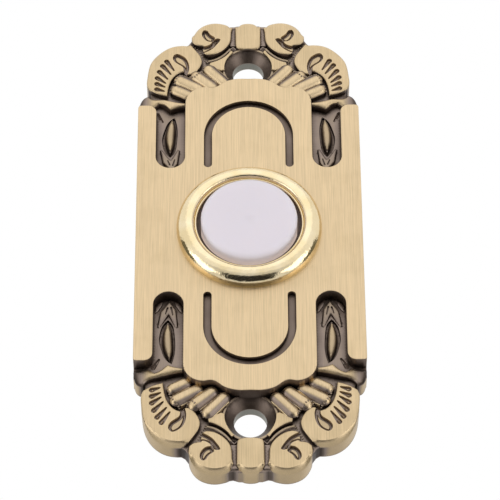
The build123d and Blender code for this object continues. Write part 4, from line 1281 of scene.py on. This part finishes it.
# %% Nook beads: one bead repeated along two lines
BEAD_STAIN = 0.36
BEAD_SINK = 0.05
bead_lines = [
    [(6.95, 37.3), (7.35, 37.9), (7.75, 38.6), (8.35, 39.95), (9.2, 41.1), (10.1, 41.7)],
    [(13.5, 30.6), (13.0, 31.8), (12.35, 33.3), (11.1, 34.3), (9.95, 33.75), (9.4, 33.5), (8.8, 34.1),
     (7.9, 35.1), (7.5, 36.2)]]
nook_runs = []
for bead_line in map(smooth, bead_lines):
    rest_on = -(THICK + np.maximum(height(bead_line), GROUND) - BEAD_SINK)
    nook_runs += [[(x * across, y, z * upward) for (x, z), y in zip(bead_line, rest_on)]
                  for across in (1, -1) for upward in (1, -1)]
sizes = {"Spacing": 0.5 * MM, "Bead length": 0.22 * MM, "Bead width": 0.16 * MM}
tree, given = geometry_tree("beads_along_a_line", sizes)
path = node(tree, "GeometryNodeMeshToCurve", {"Mesh": given["Geometry"]})
stops = node(tree, "GeometryNodeCurveToPoints", {"Curve": path.outputs[0], "Length": given["Spacing"]},
             mode="LENGTH")
ball = node(tree, "GeometryNodeMeshUVSphere", {"Segments": 12, "Rings": 8, "Radius": 1.0})
size_vector = node(tree, "ShaderNodeCombineXYZ", {"X": given["Bead length"], "Y": given["Bead length"],
                                                  "Z": given["Bead width"]})
placed = node(tree, "GeometryNodeInstanceOnPoints", {
    "Points": stops.outputs["Points"], "Instance": ball.outputs[0], "Rotation": stops.outputs["Rotation"],
    "Scale": size_vector.outputs[0]})
close_tree(tree, placed.outputs[0], plate.data.materials[0])
nook_beads = grown("nook_beads", line_mesh("nook_lines", nook_runs), tree, sizes, "housing")
stained = nook_beads.data.attributes.new("patina_and_shade", "FLOAT", "POINT")
stained.data.foreach_set("value", np.full(len(nook_beads.data.vertices), BEAD_STAIN, np.float32))

# %% [markdown]
# ## The room: floor and cards
# The floor lies well below the plate and is pale, so that it only sends soft light upwards.  In the
# photograph the ring mirrors things that stand in the room: a black band below, probably the camera and
# its stand, and darker walls at the sides.  One black and two grey cards take their place.  Only
# mirror rays see them, so they neither shade the plate nor show in the picture.

# %% Floor and cards
REACH, FLOOR_Z = 3.0, -0.4
SIDE_X = 0.5
FLOOR_COLOUR, BLACK_CARD, GREY_CARD = "#E8E8E8", "#100F0E", "#6E6A55"


def stage_sheet(name, outlines, colour):
    """Flat sheets of one matt colour that belong to the studio and not to the doorbell."""
    mesh = bpy.data.meshes.new(name)
    corners = [corner for sheet in outlines for corner in sheet]
    mesh.from_pydata(corners, [], [tuple(range(i, i + 4)) for i in range(0, len(corners), 4)])
    sheet_object = bpy.data.objects.new(name, mesh)
    bpy.context.scene.collection.objects.link(sheet_object)
    matt, tree = new_material(name + "_matt")
    surface(tree, {"Base Color": linear(colour), "Roughness": 0.9})
    mesh.materials.append(matt)
    return sheet_object


stage_sheet("floor", [[(-REACH, -REACH, FLOOR_Z), (REACH, -REACH, FLOOR_Z),
                       (REACH, REACH, FLOOR_Z), (-REACH, REACH, FLOOR_Z)]], FLOOR_COLOUR)
below = [(-0.3, -0.55, -0.27), (0.3, -0.55, -0.27), (0.24, -0.1, -0.39), (-0.24, -0.1, -0.39)]
beside = [[(side * SIDE_X, y, z) for y, z in ((-0.13, -0.13), (0.36, -0.15), (0.36, 0.2), (-0.2, 0.14))]
          for side in (-1, 1)]
for card in (stage_sheet("black_card", [below], BLACK_CARD), stage_sheet("grey_cards", beside, GREY_CARD)):
    card.visible_camera = card.visible_diffuse = card.visible_shadow = card.visible_transmission = False
